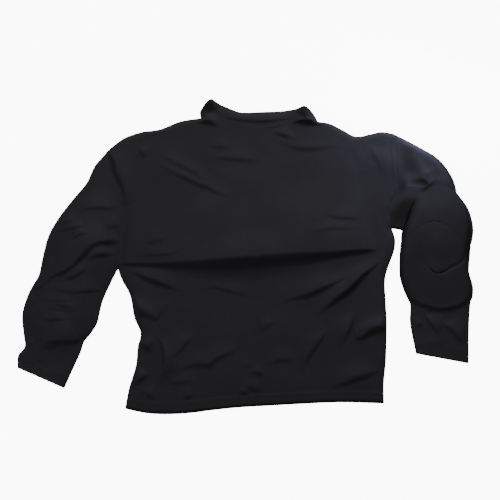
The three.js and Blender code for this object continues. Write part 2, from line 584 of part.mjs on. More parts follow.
// The pads of the right sleeve, each with its edges running from inner to outer and end to end.
function rightPads() {
  const cupUpper = outset(CUP_UPPER_EDGE);
  const cupLower = outset(CUP_LOWER_EDGE);
  const lastOf = (points) => points[points.length - 1];
  return {
    right_shoulder_pad: {
      south: SHOULDER_LOWER_EDGE, north: SHOULDER_OUTER_EDGE, west: SHOULDER_SEAM_EDGE, east: SHOULDER_LIP,
      thickness: 14, roll: 20, folds: SHOULDER_FOLDS,
    },
    right_upper_arm_pad: {
      south: UPPER_ARM_RIM, north: UPPER_ARM_LIP, west: [UPPER_ARM_RIM[0], UPPER_ARM_LIP[0]],
      east: UPPER_ARM_OUTER_EDGE, thickness: 13, roll: 15,
    },
    right_elbow_pad: {
      south: cupUpper, north: ELBOW_RIM, west: [cupUpper[0], ELBOW_RIM[0]],
      east: [lastOf(cupUpper), ...ELBOW_OUTER_EDGE.slice(1)], thickness: 15, roll: 15,
    },
    right_elbow_cup: {
      south: CUP_LOWER_EDGE.slice(0, 4), north: CUP_UPPER_EDGE.slice(3),
      west: CUP_UPPER_EDGE.slice(0, 4), east: CUP_LOWER_EDGE.slice(3), thickness: 19, roll: 20,
    },
    right_forearm_pad: {
      south: FOREARM_END, north: cupLower, west: [...FOREARM_INNER_EDGE.slice(0, -1), cupLower[0]],
      east: [...FOREARM_OUTER_EDGE.slice(0, -1), lastOf(cupLower)], thickness: 14, roll: 17,
    },
  };
}

function piece(name, geometry, finish) {
  const mesh = new THREE.Mesh(geometry, new THREE.MeshStandardMaterial(finish));
  mesh.name = name;
  return mesh;
}

// The whole shirt, moved so that the origin is under the middle of its bounding box.
function shirt() {
  const group = new THREE.Group();
  group.add(piece('front_panel', frontPanel(), CLOTH));
  group.add(piece('back_panel', backPanel(), CLOTH));
  group.add(piece('left_sleeve', sleeve(LEFT_PLAN, leftSurface), CLOTH));
  group.add(piece('right_sleeve', sleeve(RIGHT_PLAN, rightSurface), CLOTH));
  group.add(piece('collar_band', collarBand(), CLOTH));
  LEFT_PADS.forEach((pad) => group.add(piece(pad.node, leftPad(pad), PAD_COVER)));
  Object.entries(rightPads()).forEach(([name, pad]) => group.add(piece(name, domedPad(pad), PAD_COVER)));
  const box = new THREE.Box3().setFromObject(group);
  const centre = box.getCenter(new THREE.Vector3());
  group.position.set(-centre.x, -centre.y, -box.min.z);
  return group;
}

export default shirt();
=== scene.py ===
# %% [markdown]
# # A padded compression shirt, laid flat
# The real shirt is black stretch jersey, sewn from a front, a back, two sleeves and a low collar,
# with foam pads under the cloth of the shoulders, elbows and forearms. It lies on its front.
# The CAD model gives each piece its place. This script dresses it: every piece of cloth becomes a
# fine sheet that follows the same outline, with its creases worked in as soft ridges and troughs.

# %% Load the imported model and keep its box
import json
import math

import bmesh
import bpy
import numpy as np
from mathutils import Matrix, Vector, noise

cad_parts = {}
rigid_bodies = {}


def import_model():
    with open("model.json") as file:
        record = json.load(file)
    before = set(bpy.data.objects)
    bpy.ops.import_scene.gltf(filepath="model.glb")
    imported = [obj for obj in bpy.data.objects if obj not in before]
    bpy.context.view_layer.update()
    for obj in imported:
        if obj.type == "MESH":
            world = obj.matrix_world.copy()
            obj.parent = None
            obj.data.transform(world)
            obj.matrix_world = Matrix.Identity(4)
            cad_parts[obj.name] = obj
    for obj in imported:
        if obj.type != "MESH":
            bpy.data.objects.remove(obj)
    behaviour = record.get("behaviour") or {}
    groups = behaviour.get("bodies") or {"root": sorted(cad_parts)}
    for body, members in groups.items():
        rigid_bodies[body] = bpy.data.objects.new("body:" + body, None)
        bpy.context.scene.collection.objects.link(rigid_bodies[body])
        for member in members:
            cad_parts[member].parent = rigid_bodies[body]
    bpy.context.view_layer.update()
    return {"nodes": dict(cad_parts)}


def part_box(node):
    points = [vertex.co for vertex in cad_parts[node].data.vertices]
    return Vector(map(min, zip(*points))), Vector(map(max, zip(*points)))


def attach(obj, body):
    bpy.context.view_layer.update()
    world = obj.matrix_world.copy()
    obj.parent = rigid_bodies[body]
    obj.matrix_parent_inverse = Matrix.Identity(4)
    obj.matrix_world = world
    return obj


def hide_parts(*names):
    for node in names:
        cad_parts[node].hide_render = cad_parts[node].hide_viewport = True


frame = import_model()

print("nodes:", ", ".join(sorted(frame["nodes"])))

# %% [markdown]
# ## One plan for cloth and camera
# A garment is drawn flat before it is sewn, so the whole shirt is drafted here as outlines on the
# table, with the hem towards -Y. The CAD model stands with its origin under the middle of its
# box, so the plan is moved by the same amount: the front panel's box says by how much.

# %% Where the plan lies in the frame
WALL = 0.0016
GAP = 0.0003
LAYERS = 2 * WALL + GAP
SHOULDER_TIP_X = -0.2617
NECK_CORNER_Y = 0.2757

panel_low, panel_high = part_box("front_panel")
SHIFT = np.array([panel_low.x - SHOULDER_TIP_X, panel_high.y - NECK_CORNER_Y])
print("plan moved by", SHIFT.round(4))

# %% [markdown]
# ## Curves
# A pattern cutter's curve runs smoothly through a few marked points. This is the centripetal
# Catmull-Rom curve: it passes through every point and never loops between two close ones, which
# a plain cubic spline can do. `along` walks it by length, so that points come evenly spaced.

# %% Smooth curves through marked points
def mm(points):
    """The pattern is marked in millimetres. This gives its points in metres."""
    return np.array(points) / 1000


def curve(points, t):
    """Points on the curve at t from 0 to 1, where each marked point takes an equal share of t."""
    p = np.asarray(points, float)
    p = np.vstack([2 * p[0] - p[1], p, 2 * p[-1] - p[-2]])
    t = np.clip(np.asarray(t, float), 0, 1) * (len(p) - 3)
    i = np.minimum(t.astype(int), len(p) - 4)
    w = (t - i)[:, None]
    a, b, c, d = p[i], p[i + 1], p[i + 2], p[i + 3]
    gap = lambda m, n: np.maximum(np.linalg.norm(n - m, axis=1), 1e-9)[:, None] ** 0.5
    ab, bc, cd = gap(a, b), gap(b, c), gap(c, d)
    start = ((b - a) / ab - (c - a) / (ab + bc) + (c - b) / bc) * bc
    end = ((c - b) / bc - (d - b) / (bc + cd) + (d - c) / cd) * bc
    bend = 3 * (c - b) - 2 * start - end
    twist = 2 * (b - c) + start + end
    return b + start * w + bend * w**2 + twist * w**3


def lengths(line):
    """How far along the line each of its points lies."""
    return np.concatenate([[0], np.cumsum(np.linalg.norm(np.diff(line, axis=0), axis=1))])


def along(points, s):
    """Points on the curve at s from 0 to 1 by length."""
    dense = curve(points, np.linspace(0, 1, 800))
    run = lengths(dense)
    s = np.clip(np.asarray(s, float), 0, 1) * run[-1]
    return np.stack([np.interp(s, run, dense[:, k]) for k in (0, 1)], axis=1)


def fine(points, count=40):
    """The curve as a line of evenly spaced points."""
    return along(points, np.linspace(0, 1, count))


# %% Soft steps from 0 to 1
def smooth(t):
    t = np.clip(t, 0, 1)
    return t * t * (3 - 2 * t)


def dome(t):
    return np.sqrt(1 - (1 - np.clip(t, 0, 1)) ** 2)


def grow(low, t):
    """From low to 1 as t goes from 0 to 1."""
    return low + (1 - low) * t


def both_ends(share, start, end):
    """0 at both ends of a line, rising to 1 over the shares start and end."""
    return smooth(share / start) * smooth((1 - share) / end)


# %% [markdown]
# ## Distances, and creases
# Two questions shape all the cloth: how far is this point from an edge, where the cloth turns
# down, and how far is it from a crease? `nearest` answers both for thousands of points at once.
# Cloth seldom folds evenly: it climbs in a steep face and slides away softly behind it. The steep
# face turns from the light and is what the eye reads as a dark line, so creases are placed by it.
# They are marked in millimetres, as on a paper pattern.

# %% Distance to a line
def nearest(line, xy):
    """Each point's distance to the line, the share of the line there, and the side (+ is left)."""
    line = np.asarray(line, float)
    a, b = line[:-1], line[1:]
    step = b - a
    size = np.linalg.norm(step, axis=1)
    before = lengths(line)
    best = np.full(len(xy), 1e9)
    share = np.zeros(len(xy))
    side = np.zeros(len(xy))
    for k in range(len(a)):
        t = np.clip(((xy - a[k]) @ step[k]) / size[k] ** 2, 0, 1)
        away = xy - (a[k] + t[:, None] * step[k])
        distance = np.linalg.norm(away, axis=1)
        closer = distance < best
        best[closer] = distance[closer]
        share[closer] = ((before[k] + t * size[k]) / before[-1])[closer]
        side[closer] = np.sign(step[k][0] * away[:, 1] - step[k][1] * away[:, 0])[closer]
    return best, share, side


def edge_distance(lines, xy):
    return np.min([nearest(line, xy)[0] for line in lines], axis=0)


# %% The height that creases and ridges add
MM = 0.001
CREASE_ENDS = 0.45, 0.45  # shares of its length over which a crease rises and fades
MARKED_ENDS = 0.03, 0.06  # the same where its points give its width
RIDGE_ENDS = 0.25, 0.25
BACK_REACH = 2.2  # a crease's soft back is level after so many widths
FACE_POWER = 1.3  # above 1 the face is hollow at its foot
NOISE_SLICE = 0.7


def around_line(points, reach, xy):
    """The line in metres, and which points lie near enough to it to matter."""
    line = curve(points, np.linspace(0, 1, 6 * len(points))) * MM
    flat = line[:, :2]
    near = np.all((xy > flat.min(axis=0) - reach) & (xy < flat.max(axis=0) + reach), axis=1)
    return line, near


def creases(table, xy):
    """Height of the creases. A row holds, in millimetres, how high the cloth climbs, half the width
    of the steep face, the width of the soft back, and the points of the face's middle. The cloth is
    high on the line's left. A third number at a point is the half width there."""
    height = np.zeros(len(xy))
    for lift, face, back, points in table:
        line, near = around_line(points, (face + BACK_REACH * back) * MM, xy)
        distance, share, side = nearest(line[:, :2], xy[near])
        taper = both_ends(share, *CREASE_ENDS)
        scale = 1.0
        if line.shape[1] == 3:
            run = lengths(line[:, :2])
            scale = np.interp(share, run / run[-1], line[:, 2]) / (face * MM)
            taper = both_ends(share, *MARKED_ENDS)
        half = face * MM * scale * grow(0.3, taper)
        across = distance * side
        climb = smooth((across + 1.5 * half) / (2.5 * half)) ** FACE_POWER
        fall = np.exp(-((np.maximum(across - half, 0) / (back * MM * grow(0.5, taper))) ** 2))
        height[near] += lift * MM * scale * taper * climb * fall
    return height


def ridges(table, xy):
    """Height of soft ridges, or valleys: height, width on the line's left and right, and points."""
    height = np.zeros(len(xy))
    for lift, left, right, points in table:
        line, near = around_line(points, 3 * max(left, right) * MM, xy)
        distance, share, side = nearest(line, xy[near])
        width = np.where(side > 0, left, right) * MM
        taper = both_ends(share, *RIDGE_ENDS)
        height[near] += lift * MM * taper * np.exp(-((distance / width) ** 2))
    return height


def ripple(xy, scale, height, stretch=(1, 1)):
    """Soft uneven waves of cloth, from smooth noise."""
    values = [noise.noise(Vector((x * stretch[0] / scale, y * stretch[1] / scale, NOISE_SLICE)))
              for x, y in xy]
    return height * np.array(values)


# %% [markdown]
# ## Sheets from a grid
# Every piece of cloth starts as a flat square grid from `bmesh.ops.create_grid`. The grid's own
# coordinates say which part of the cloth a corner is, so one function moves all of them into
# place and writes the same numbers as UVs, in metres, for the knit to follow. A Solidify modifier
# then gives the sheet its thickness.

# %% A finished object from a bmesh
SHARP_ANGLE = 1.0


def new_object(name, bm, finish, thickness=None):
    for edge in bm.edges:
        if edge.is_boundary or edge.calc_face_angle(0) > SHARP_ANGLE:
            edge.smooth = False
    mesh = bpy.data.meshes.new(name)
    bm.to_mesh(mesh)
    bm.free()
    mesh.polygons.foreach_set("use_smooth", [True] * len(mesh.polygons))
    piece = bpy.data.objects.new(name, mesh)
    bpy.context.scene.collection.objects.link(piece)
    mesh.materials.append(finish)
    if thickness:
        wall = piece.modifiers.new("wall", "SOLIDIFY")
        wall.thickness = thickness
        wall.offset = -1
        wall.use_even_offset = False
    print(f"{name}: {len(mesh.polygons)} faces")
    return piece


def stands_for(piece, node_name):
    """The piece rides on the shirt's one body and shows in place of its CAD node."""
    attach(piece, "root")
    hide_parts(node_name)


# %% A grid, and moving its corners into place
def grid(columns, rows):
    """A bmesh grid and the two coordinates, 0 to 1, of each of its corners."""
    bm = bmesh.new()
    bmesh.ops.create_grid(bm, x_segments=columns, y_segments=rows, size=0.5)
    bm.verts.ensure_lookup_table()
    uv = np.array([v.co[:2] for v in bm.verts]) + 0.5
    return bm, uv


def place(bm, uv, points, cloth_size):
    """Moves the grid's corners to points and writes UVs in metres of cloth."""
    layer = bm.loops.layers.uv.new("UVMap")
    for v, (x, y, z) in zip(bm.verts, points):
        v.co = (x, y, z)
    for face in bm.faces:
        for loop in face.loops:
            loop[layer].uv = uv[loop.vert.index] * cloth_size


def lifted(xy, z):
    return np.column_stack([xy + SHIFT, z])


# %% A sheet, a tube, and a plan between four curves
def sheet(name, columns, rows, plan, height, cloth_size, finish, thickness):
    bm, uv = grid(columns, rows)
    xy = plan(uv[:, 0], uv[:, 1])
    place(bm, uv, lifted(xy, height(xy)), cloth_size)
    bmesh.ops.recalc_face_normals(bm, faces=bm.faces)
    if sum(face.normal.z for face in bm.faces) < 0:
        bmesh.ops.reverse_faces(bm, faces=bm.faces)
    return new_object(name, bm, finish, thickness)


def tube(name, around, rows, surface, cloth_size, finish, thickness):
    """A flattened tube. Its grid's first half lies on top and its second half returns below."""
    bm, uv = grid(around, rows)
    over = uv[:, 0] < 0.5
    across = np.where(over, 2 * uv[:, 0], 2 - 2 * uv[:, 0])
    place(bm, uv, surface(across, uv[:, 1], over), cloth_size)
    bmesh.ops.remove_doubles(bm, verts=bm.verts, dist=1e-5)
    bmesh.ops.recalc_face_normals(bm, faces=bm.faces)
    upward = sum(f.normal.z * f.calc_center_median().z for f in bm.faces)
    if upward < 0:
        bmesh.ops.reverse_faces(bm, faces=bm.faces)
    return new_object(name, bm, finish, thickness)


def patch(south, north, west, east):
    """Plan between four curves: south and north run with u, west and east with v."""
    def plan(u, v):
        u, v = np.asarray(u, float), np.asarray(v, float)
        s, n, w, e = along(south, u), along(north, u), along(west, v), along(east, v)
        u, v = u[:, None], v[:, None]
        ends = np.array([south[0], south[-1], north[0], north[-1]], float)
        low, high = ends[0] * (1 - u) + ends[1] * u, ends[2] * (1 - u) + ends[3] * u
        corners = low * (1 - v) + high * v
        return s * (1 - v) + n * v + w * (1 - u) + e * u - corners
    return plan


# %% [markdown]
# ## The finishes
# The shirt is a matt black warp-knit jersey with a little sheen at grazing angles, as elastane
# cloth has. A single flat black would look like plastic, so the colour and the roughness drift
# slightly, fine ribs of the knit stand up as bump, and a soft fuzz catches the light as sheen.
# The pads carry the same cloth pulled tight over foam, so its ribs are flatter; its darker colour
# is painted shade on the raised pads.

# %% Node helper
def node(tree, kind, inputs=(), **settings):
    made = tree.nodes.new(kind)
    for key, value in settings.items():
        setattr(made, key, value)
    for socket, value in dict(inputs).items():
        if isinstance(value, bpy.types.NodeSocket):
            tree.links.new(value, made.inputs[socket])
        else:
            made.inputs[socket].default_value = value
    return made


# %% The knit
def jersey(name, dark, light, rough, sheen, rib_depth):
    """Stretch jersey: two-tone black, knit ribs along V and stitches along U, with soft fuzz."""
    material = bpy.data.materials.new(name)
    material.use_nodes = True
    tree = material.node_tree
    shader = tree.nodes["Principled BSDF"]
    uv = node(tree, "ShaderNodeTexCoord").outputs["UV"]
    spot = node(tree, "ShaderNodeTexCoord").outputs["Object"]
    ribs = node(tree, "ShaderNodeTexWave", {"Vector": uv, "Scale": 300.0, "Distortion": 0.4},
                wave_type="BANDS", bands_direction="X")
    loops = node(tree, "ShaderNodeTexWave", {"Vector": uv, "Scale": 240.0, "Distortion": 0.6},
                 wave_type="BANDS", bands_direction="Y")
    knit = node(tree, "ShaderNodeMath", {0: ribs.outputs["Fac"], 1: loops.outputs["Fac"]},
                operation="MULTIPLY")
    fuzz = node(tree, "ShaderNodeTexNoise", {"Vector": spot, "Scale": 900.0, "Detail": 3.0})
    drift = node(tree, "ShaderNodeTexNoise", {"Vector": spot, "Scale": 14.0, "Detail": 4.0})
    tone = node(tree, "ShaderNodeMix", {"Factor": drift.outputs["Fac"]}, data_type="RGBA")
    tone.inputs["A"].default_value = (*dark, 1)
    tone.inputs["B"].default_value = (*light, 1)
    tree.links.new(tone.outputs["Result"], shader.inputs["Base Color"])
    shine = node(tree, "ShaderNodeMapRange", {"Value": drift.outputs["Fac"], "From Min": 0.3,
                 "From Max": 0.7, "To Min": rough - 0.04, "To Max": rough + 0.05})
    tree.links.new(shine.outputs["Result"], shader.inputs["Roughness"])
    knit_bump = node(tree, "ShaderNodeBump", {"Height": knit.outputs["Value"], "Strength": 0.5,
                     "Distance": rib_depth})
    fuzz_bump = node(tree, "ShaderNodeBump", {"Height": fuzz.outputs["Fac"], "Strength": 0.35,
                     "Distance": 0.0003, "Normal": knit_bump.outputs["Normal"]})
    tree.links.new(fuzz_bump.outputs["Normal"], shader.inputs["Normal"])
    shader.inputs["Sheen Weight"].default_value = sheen
    shader.inputs["Sheen Roughness"].default_value = 0.45
    shader.inputs["Sheen Tint"].default_value = (0.60, 0.60, 0.72, 1)
    shader.inputs["Specular IOR Level"].default_value = 0.14
    return material


CLOTH = jersey("black_jersey", (0.0060, 0.0058, 0.0066), (0.0088, 0.0085, 0.0097), rough=0.72,
               sheen=0.01, rib_depth=0.00025)
# The pads' cloth is the same jersey painted darker: painted shade.
PAD_CLOTH_PAINTED_DARKER = jersey("pad_jersey_painted_shade", (0.0039, 0.0038, 0.0045), (0.0058, 0.0056, 0.0067), rough=0.66,
                   sheen=0.01, rib_depth=0.0002)
THREAD = jersey("black_thread", (0.008, 0.008, 0.009), (0.011, 0.011, 0.012), rough=0.5,
                sheen=0.01, rib_depth=0.0001)
print("finishes:", CLOTH.name, PAD_CLOTH_PAINTED_DARKER.name, THREAD.name)

# %% [markdown]
# ## Camera
# The shirt is photographed from above and from the hem's side, about 65 degrees above the table.
# A long lens keeps the two sleeves the same size. Its distance follows from the scale of the
# picture: one pixel is 1.8 mm on the table at the shirt's middle.

# %% Place the camera
PHOTO_SIDE = 500
ELEVATION = math.radians(65)
LENS = 0.085
SENSOR = 0.036
METRES_PER_PIXEL = 0.0018
AIM_X = 0.00855

distance = METRES_PER_PIXEL * PHOTO_SIDE * LENS / SENSOR
aim = Vector((AIM_X + SHIFT[0], SHIFT[1], 0))
camera_data = bpy.data.cameras.new("camera")
camera_data.lens = LENS * 1000
camera_data.sensor_width = SENSOR * 1000
camera = bpy.data.objects.new("camera", camera_data)
bpy.context.scene.collection.objects.link(camera)
camera.location = aim + distance * Vector((0, -math.cos(ELEVATION), math.sin(ELEVATION)))
camera.rotation_euler = (math.pi / 2 - ELEVATION, 0, 0)
bpy.context.scene.camera = camera
print("camera distance in metres:", round(distance, 3))

# %% [markdown]
# ## Light and floor
# The light comes from beyond the collar, slightly to the right, so everything that faces the hem
# is dark. A large window lamp there does most of the work and a ceiling lamp keeps the folds
# readable. A small cool lamp beside the far shoulder gives its highlight, and a low one at the
# left brings out the left sleeve. Black cloth needs little fill: with more, the creases go flat.
# The table glows, so it stays white, but it lights nothing: its glow would edge the cloth with
# a pale rim. The lamps are hidden from the camera, so none of them shows in a view.

# %% Lamps
def lamp(name, size, power, colour, location, target):
    data = bpy.data.lights.new(name, "AREA")
    data.shape = "RECTANGLE"
    data.size, data.size_y = size
    data.energy = power
    data.color = colour
    made = bpy.data.objects.new(name, data)
    bpy.context.scene.collection.objects.link(made)
    made.location = location
    made.visible_camera = False
    made.rotation_euler = (Vector(target) - Vector(location)).to_track_quat("-Z", "Y").to_euler()
    print(f"{name} lamp: {power} W")


lamp("window", (2.0, 1.1), 134, (0.99, 0.955, 1.0), (0.25, 3.05, 1.80), (0, 0, 0))
lamp("ceiling", (2.4, 2.4), 19, (1.0, 0.98, 1.0), (-0.2, -0.2, 2.3), (0, 0, 0))
lamp("far_right", (0.14, 0.07), 1.7, (0.55, 0.59, 1.0), (0.37, 0.40, 0.08), (0.290, 0.22, 0.015))
lamp("far_left", (0.6, 0.5), 3.4, (0.80, 0.76, 1.0), (-1.00, -0.45, 0.40), (-0.37, -0.20, 0))

# %% The room's light and the table
world = bpy.data.worlds.new("studio")
bpy.context.scene.world = world
world.use_nodes = True
world.node_tree.nodes["Background"].inputs["Color"].default_value = (0.97, 0.98, 1.0, 1)
world.node_tree.nodes["Background"].inputs["Strength"].default_value = 0.27

table_white = bpy.data.materials.new("pale_floor")
table_white.use_nodes = True
table_shader = table_white.node_tree.nodes["Principled BSDF"]
table_shader.inputs["Base Color"].default_value = (0.30, 0.30, 0.30, 1)
table_shader.inputs["Roughness"].default_value = 0.9
table_shader.inputs["Emission Color"].default_value = (1, 1, 1, 1)
table_shader.inputs["Emission Strength"].default_value = 10.0
table_bm = bmesh.new()
bmesh.ops.create_grid(table_bm, x_segments=1, y_segments=1, size=4)
bmesh.ops.translate(table_bm, verts=table_bm.verts, vec=(0, 0, -0.0003))
floor = new_object("floor", table_bm, table_white)
floor.visible_diffuse = False
floor.visible_glossy = False

# %% [markdown]
# ## The body's plan
# The back and the front are cut to nearly the same outline. A row of this table is one line
# across the shirt: its two ends, and how far it sags between them, because the shirt was laid
# down a little slack. The hem and the shoulder line bend the first and last rows.

# %% Sections of the body
# left x, left y, right x, right y, sag
BODY = [
    (-203, -297, 236, -288, 0),
    (-198, -261, 237, -256, 6),
    (-188, -220, 243, -211, 4),
    (-186, -185, 246, -172, 0),
    (-182, -161, 248, -138, 0),
    (-194, -132, 248, -100, 2),
    (-204, -88, 249, -57, 8),
    (-220, -58, 258, -28, 14),
    (-227, -37, 266, -8, 16),
    (-228, -14, 271, 18, 15),
    (-229, 12, 266, 42, 11),
    (-225, 48, 259, 73, 6),
    (-222, 80, 267, 95, 2),
    (-223, 112, 279, 122, 0),
    (-234, 149, 280, 172, 0),
    (-251, 186, 279, 213, 0),
    (-262, 200, 280, 241, 0),
]
LEFT_UNDERARM = 8 / 16
RIGHT_UNDERARM = 10 / 16
body = mm(BODY)


def left_side(v):
    return curve(body[:, 0:2], v)


def right_side(v):
    return curve(body[:, 2:4], v)


# %% The hem, the shoulders and the two necklines
HEM = mm([(-203, -297), (-184, -302), (-160, -306), (-126, -307), (-93, -305), (-56, -300),
          (-8, -295), (42, -292), (93, -289), (161, -286), (236, -288)])
LEFT_SHOULDER = mm([(-262, 200), (-246, 217), (-226, 233), (-195, 245), (-161, 251), (-124, 268),
                    (-84, 276)])
RIGHT_SHOULDER = mm([(137, 268), (160, 263), (184, 249), (208, 235), (234, 240), (257, 245),
                     (280, 241)])
BACK_NECK = mm([(-84, 276), (-73, 264), (-56, 258), (-10, 252), (27, 251), (65, 254), (99, 261),
                (122, 264), (137, 268)])
FRONT_NECK = mm([(-84, 276), (-79, 250), (-62, 228), (-30, 212), (26, 204), (82, 210), (113, 226),
                 (131, 247), (137, 268)])
NECK_FROM, NECK_TO = 0.3, 0.7
HEM_FADE, TOP_FADE = 9, 5


def top_line(neck):
    """The upper edge of a panel by its share across: left shoulder, neck, right shoulder."""
    def line(u):
        left = along(LEFT_SHOULDER, u / NECK_FROM)
        middle = along(neck, (u - NECK_FROM) / (NECK_TO - NECK_FROM))
        right = along(RIGHT_SHOULDER, (u - NECK_TO) / (1 - NECK_TO))
        first = np.where((u < NECK_FROM)[:, None], left, middle)
        return np.where((u > NECK_TO)[:, None], right, first)
    return line


def body_plan(neck):
    top = top_line(neck)

    def bow(line, u):
        return line(u) - (line(u * 0) * (1 - u[:, None]) + line(u * 0 + 1) * u[:, None])

    def plan(u, v):
        a, b = left_side(v), right_side(v)
        sag = np.interp(v, np.linspace(0, 1, len(body)), body[:, 4])
        hem = bow(lambda s: along(HEM, s), u) * ((1 - v) ** HEM_FADE)[:, None]
        shoulders = bow(top, u) * (v**TOP_FADE)[:, None]
        xy = a * (1 - u[:, None]) + b * u[:, None] + hem + shoulders
        xy[:, 1] -= sag * 4 * u * (1 - u)
        return xy
    return plan


side_shares = np.linspace(0, 1, 120)
LEFT_SEAM = left_side(side_shares[side_shares <= LEFT_UNDERARM])
RIGHT_SEAM = right_side(side_shares[side_shares <= RIGHT_UNDERARM])
LEFT_ARMHOLE = left_side(side_shares[side_shares >= LEFT_UNDERARM])
RIGHT_ARMHOLE = right_side(side_shares[side_shares >= RIGHT_UNDERARM])
print("chest across the underarms:", round(float(RIGHT_SEAM[-1, 0] - LEFT_SEAM[-1, 0]), 3), "m")

# %% [markdown]
# ## The creases of the back
# This is the piece that everybody sees. The long fold across the back is a wave of slack cloth:
# it rises slowly from the shoulder blades and drops steeply towards the hem. Cloth simulation
# would invent its own creases, so these are listed one by one instead. Each row is read from the
# real garment, and keeps its own length, depth and direction.

# %% The fold across the back, and the drag lines from the right underarm
# lift, half width of the face, width of the back, points
FOLD_CREASES = [
    (11.5, 10, 110, [(-226, -31, 2), (-200, -32, 3), (-160, -33.5, 4.6), (-120, -35, 6.8),
        (-100, -35.4, 8), (-80, -35.3, 9), (-40, -33.8, 10), (3, -30.5, 10), (40, -27, 10),
        (80, -23, 10), (100, -20.8, 9.3), (140, -16.3, 7.5), (160, -13.6, 6.3), (180, -10.8, 5.2),
        (200, -8, 4.2), (220, -5.5, 3.2), (242, -3, 2)]),
    (4.0, 14, 40, [(-130, -50), (-60, -51), (0, -47), (60, -42), (130, -34)]),
    (1.5, 2.0, 13, [(-198, -15), (-170, -16), (-140, -15), (-110, -9)]),
    (1.3, 3.2, 14, [(-180, 4), (-160, 12), (-140, 16)]),
    (6.4, 3.7, 22, [(122, -135), (130, -128), (145, -114), (160, -101), (175, -90), (190, -77),
        (205, -60), (220, -45), (235, -32), (250, -21)]),
    (4.5, 3.8, 22, [(60, -108), (75, -102), (90, -97), (110, -93), (130, -84), (150, -74),
        (170, -62), (190, -52)]),
    (5.2, 5, 16, [(190, -173, 2), (203, -172, 3.5), (212, -166, 4.5), (222, -160, 5.5),
        (235, -157, 6), (252, -156, 6.5)]),
    (3.0, 3.2, 19, [(163, -193), (172, -178), (180, -160), (188, -140), (195, -118)]),
    (3.0, 3.2, 19, [(96, -238), (101, -228), (108, -210), (118, -195), (130, -178), (140, -163),
        (152, -148)]),
    (3.5, 3.1, 21, [(140, -262), (160, -258), (175, -253), (190, -247), (205, -243), (220, -236),
        (240, -228)]),
    (1.4, 3.3, 16, [(22, -163), (35, -155), (42, -148), (55, -137)]),
    (3.0, 3.3, 19, [(-125, -238), (-105, -228), (-85, -222), (-60, -222), (-48, -212), (-35, -204),
        (-20, -197), (-8, -190), (2, -182)]),
    (2.0, 3.3, 16, [(35, -218), (50, -216), (65, -213), (76, -215), (92, -218)]),
    (1.3, 2.5, 13, [(-8, -224), (5, -223), (15, -220)]),
]

# %% The tucks of the left side, and the dimples along the hem
LEFT_SIDE_CREASES = [
    (4.4, 2.8, 19, [(-216, -44), (-200, -48), (-185, -55), (-170, -62), (-155, -68), (-140, -74),
        (-125, -80), (-110, -87)]),
    (1.6, 2.1, 16, [(-75, -80), (-50, -78), (-30, -84), (-5, -90), (18, -94)]),
    (6.4, 8, 14, [(-214, -121, 8.5), (-206, -122, 8), (-188, -124, 7), (-172, -130, 5),
        (-152, -139, 3)]),
    (1.4, 6.5, 19, [(-160, -100), (-150, -118), (-135, -132)]),
    (4.2, 2.8, 14, [(-188, -178), (-178, -184), (-170, -192), (-160, -199)]),
    (5.8, 2.8, 19, [(-152, -165), (-146, -180), (-141, -200), (-139, -220), (-142, -232),
        (-148, -245), (-152, -258)]),
    (4.2, 3.1, 18, [(-195, -262), (-188, -256), (-178, -248), (-165, -240), (-160, -235)]),
    (2.7, 2.4, 13, [(-178, -269), (-168, -273), (-160, -279), (-148, -281)]),
    (2.5, 2.1, 13, [(-108, -281), (-98, -279), (-85, -276)]),
    (1.7, 2.8, 14, [(-140, -254), (-120, -254), (-100, -253), (-80, -251)]),
    (2.7, 3.0, 19, [(-125, -210), (-112, -197), (-100, -180), (-85, -165)]),
    (2.6, 2.4, 13, [(-8, -258), (2, -258), (10, -263), (20, -268), (30, -271)]),
    (2.6, 2.4, 13, [(6, -231), (15, -236), (25, -239), (35, -240)]),
    (2.6, 2.4, 11, [(-12, -273), (-3, -272), (8, -273)]),
]

# %% The slanting lines over the shoulder blades and below the neck
UPPER_CREASES = [
    (2.6, 2.3, 18, [(-172, 179), (-145, 160), (-129, 151), (-114, 143), (-98, 134), (-84, 126),
        (-70, 122), (-56, 113), (-42, 107), (-15, 102)]),
    (2.0, 2.2, 14, [(-170, 200), (-156, 191), (-145, 183), (-124, 169), (-96, 154), (-80, 142),
        (-66, 137), (-55, 132)]),
    (2.0, 3.5, 18, [(-70, 188), (-40, 184), (0, 180), (35, 180)]),
    (1.5, 2.8, 14, [(-68, 212), (-45, 208), (-25, 207)]),
    (2.2, 2.8, 14, [(-205, 208), (-195, 197), (-184, 184)]),
    (1.6, 3.5, 18, [(-195, 233), (-160, 240), (-130, 250)]),
    (2.3, 2.1, 13, [(49, 243), (66, 236), (80, 230), (95, 226)]),
    (1.9, 2.8, 18, [(51, 225), (66, 218), (80, 211), (99, 205), (120, 204), (139, 206), (158, 210),
        (184, 209)]),
    (1.3, 3.5, 19, [(231, 220), (236, 196), (246, 177), (251, 157), (252, 146)]),
    (1.2, 2.8, 18, [(135, 67), (150, 63), (166, 59), (188, 58), (205, 56), (220, 52)]),
    (0.8, 2.1, 14, [(106, 31), (139, 32), (152, 36), (205, 37)]),
]
# The cloth climbs into both ends of the collar, so these two rows shape the collar as well.
NECK_CREASES = [
    (6.5, 4.2, 14, [(84, 261), (98, 263), (112, 263), (131, 260), (154, 253)]),
    (4.8, 4.0, 12, [(-94, 262), (-80, 263), (-68, 262), (-52, 250)]),
]
# The armhole's seam allowance stands up along the padded shoulder.
SEAM_RIDGE = [(0.9, 3.0, 2.2, [(276, 208), (276, 175), (275.5, 138)])]
# This one runs along the left armhole, partly on the body and partly on the sleeve.
ARMHOLE_CREASES = [
    (4.4, 4.5, 16, [(-256, 196, 2), (-250, 185, 3.5), (-245, 170, 4.5), (-241, 154, 4.5),
        (-235, 141, 4), (-228, 125, 3), (-224, 108, 1.6), (-223, 88, 0.6)]),
]
BACK_CREASES = FOLD_CREASES + LEFT_SIDE_CREASES + UPPER_CREASES + NECK_CREASES + ARMHOLE_CREASES
print("creases on the back:", len(BACK_CREASES))

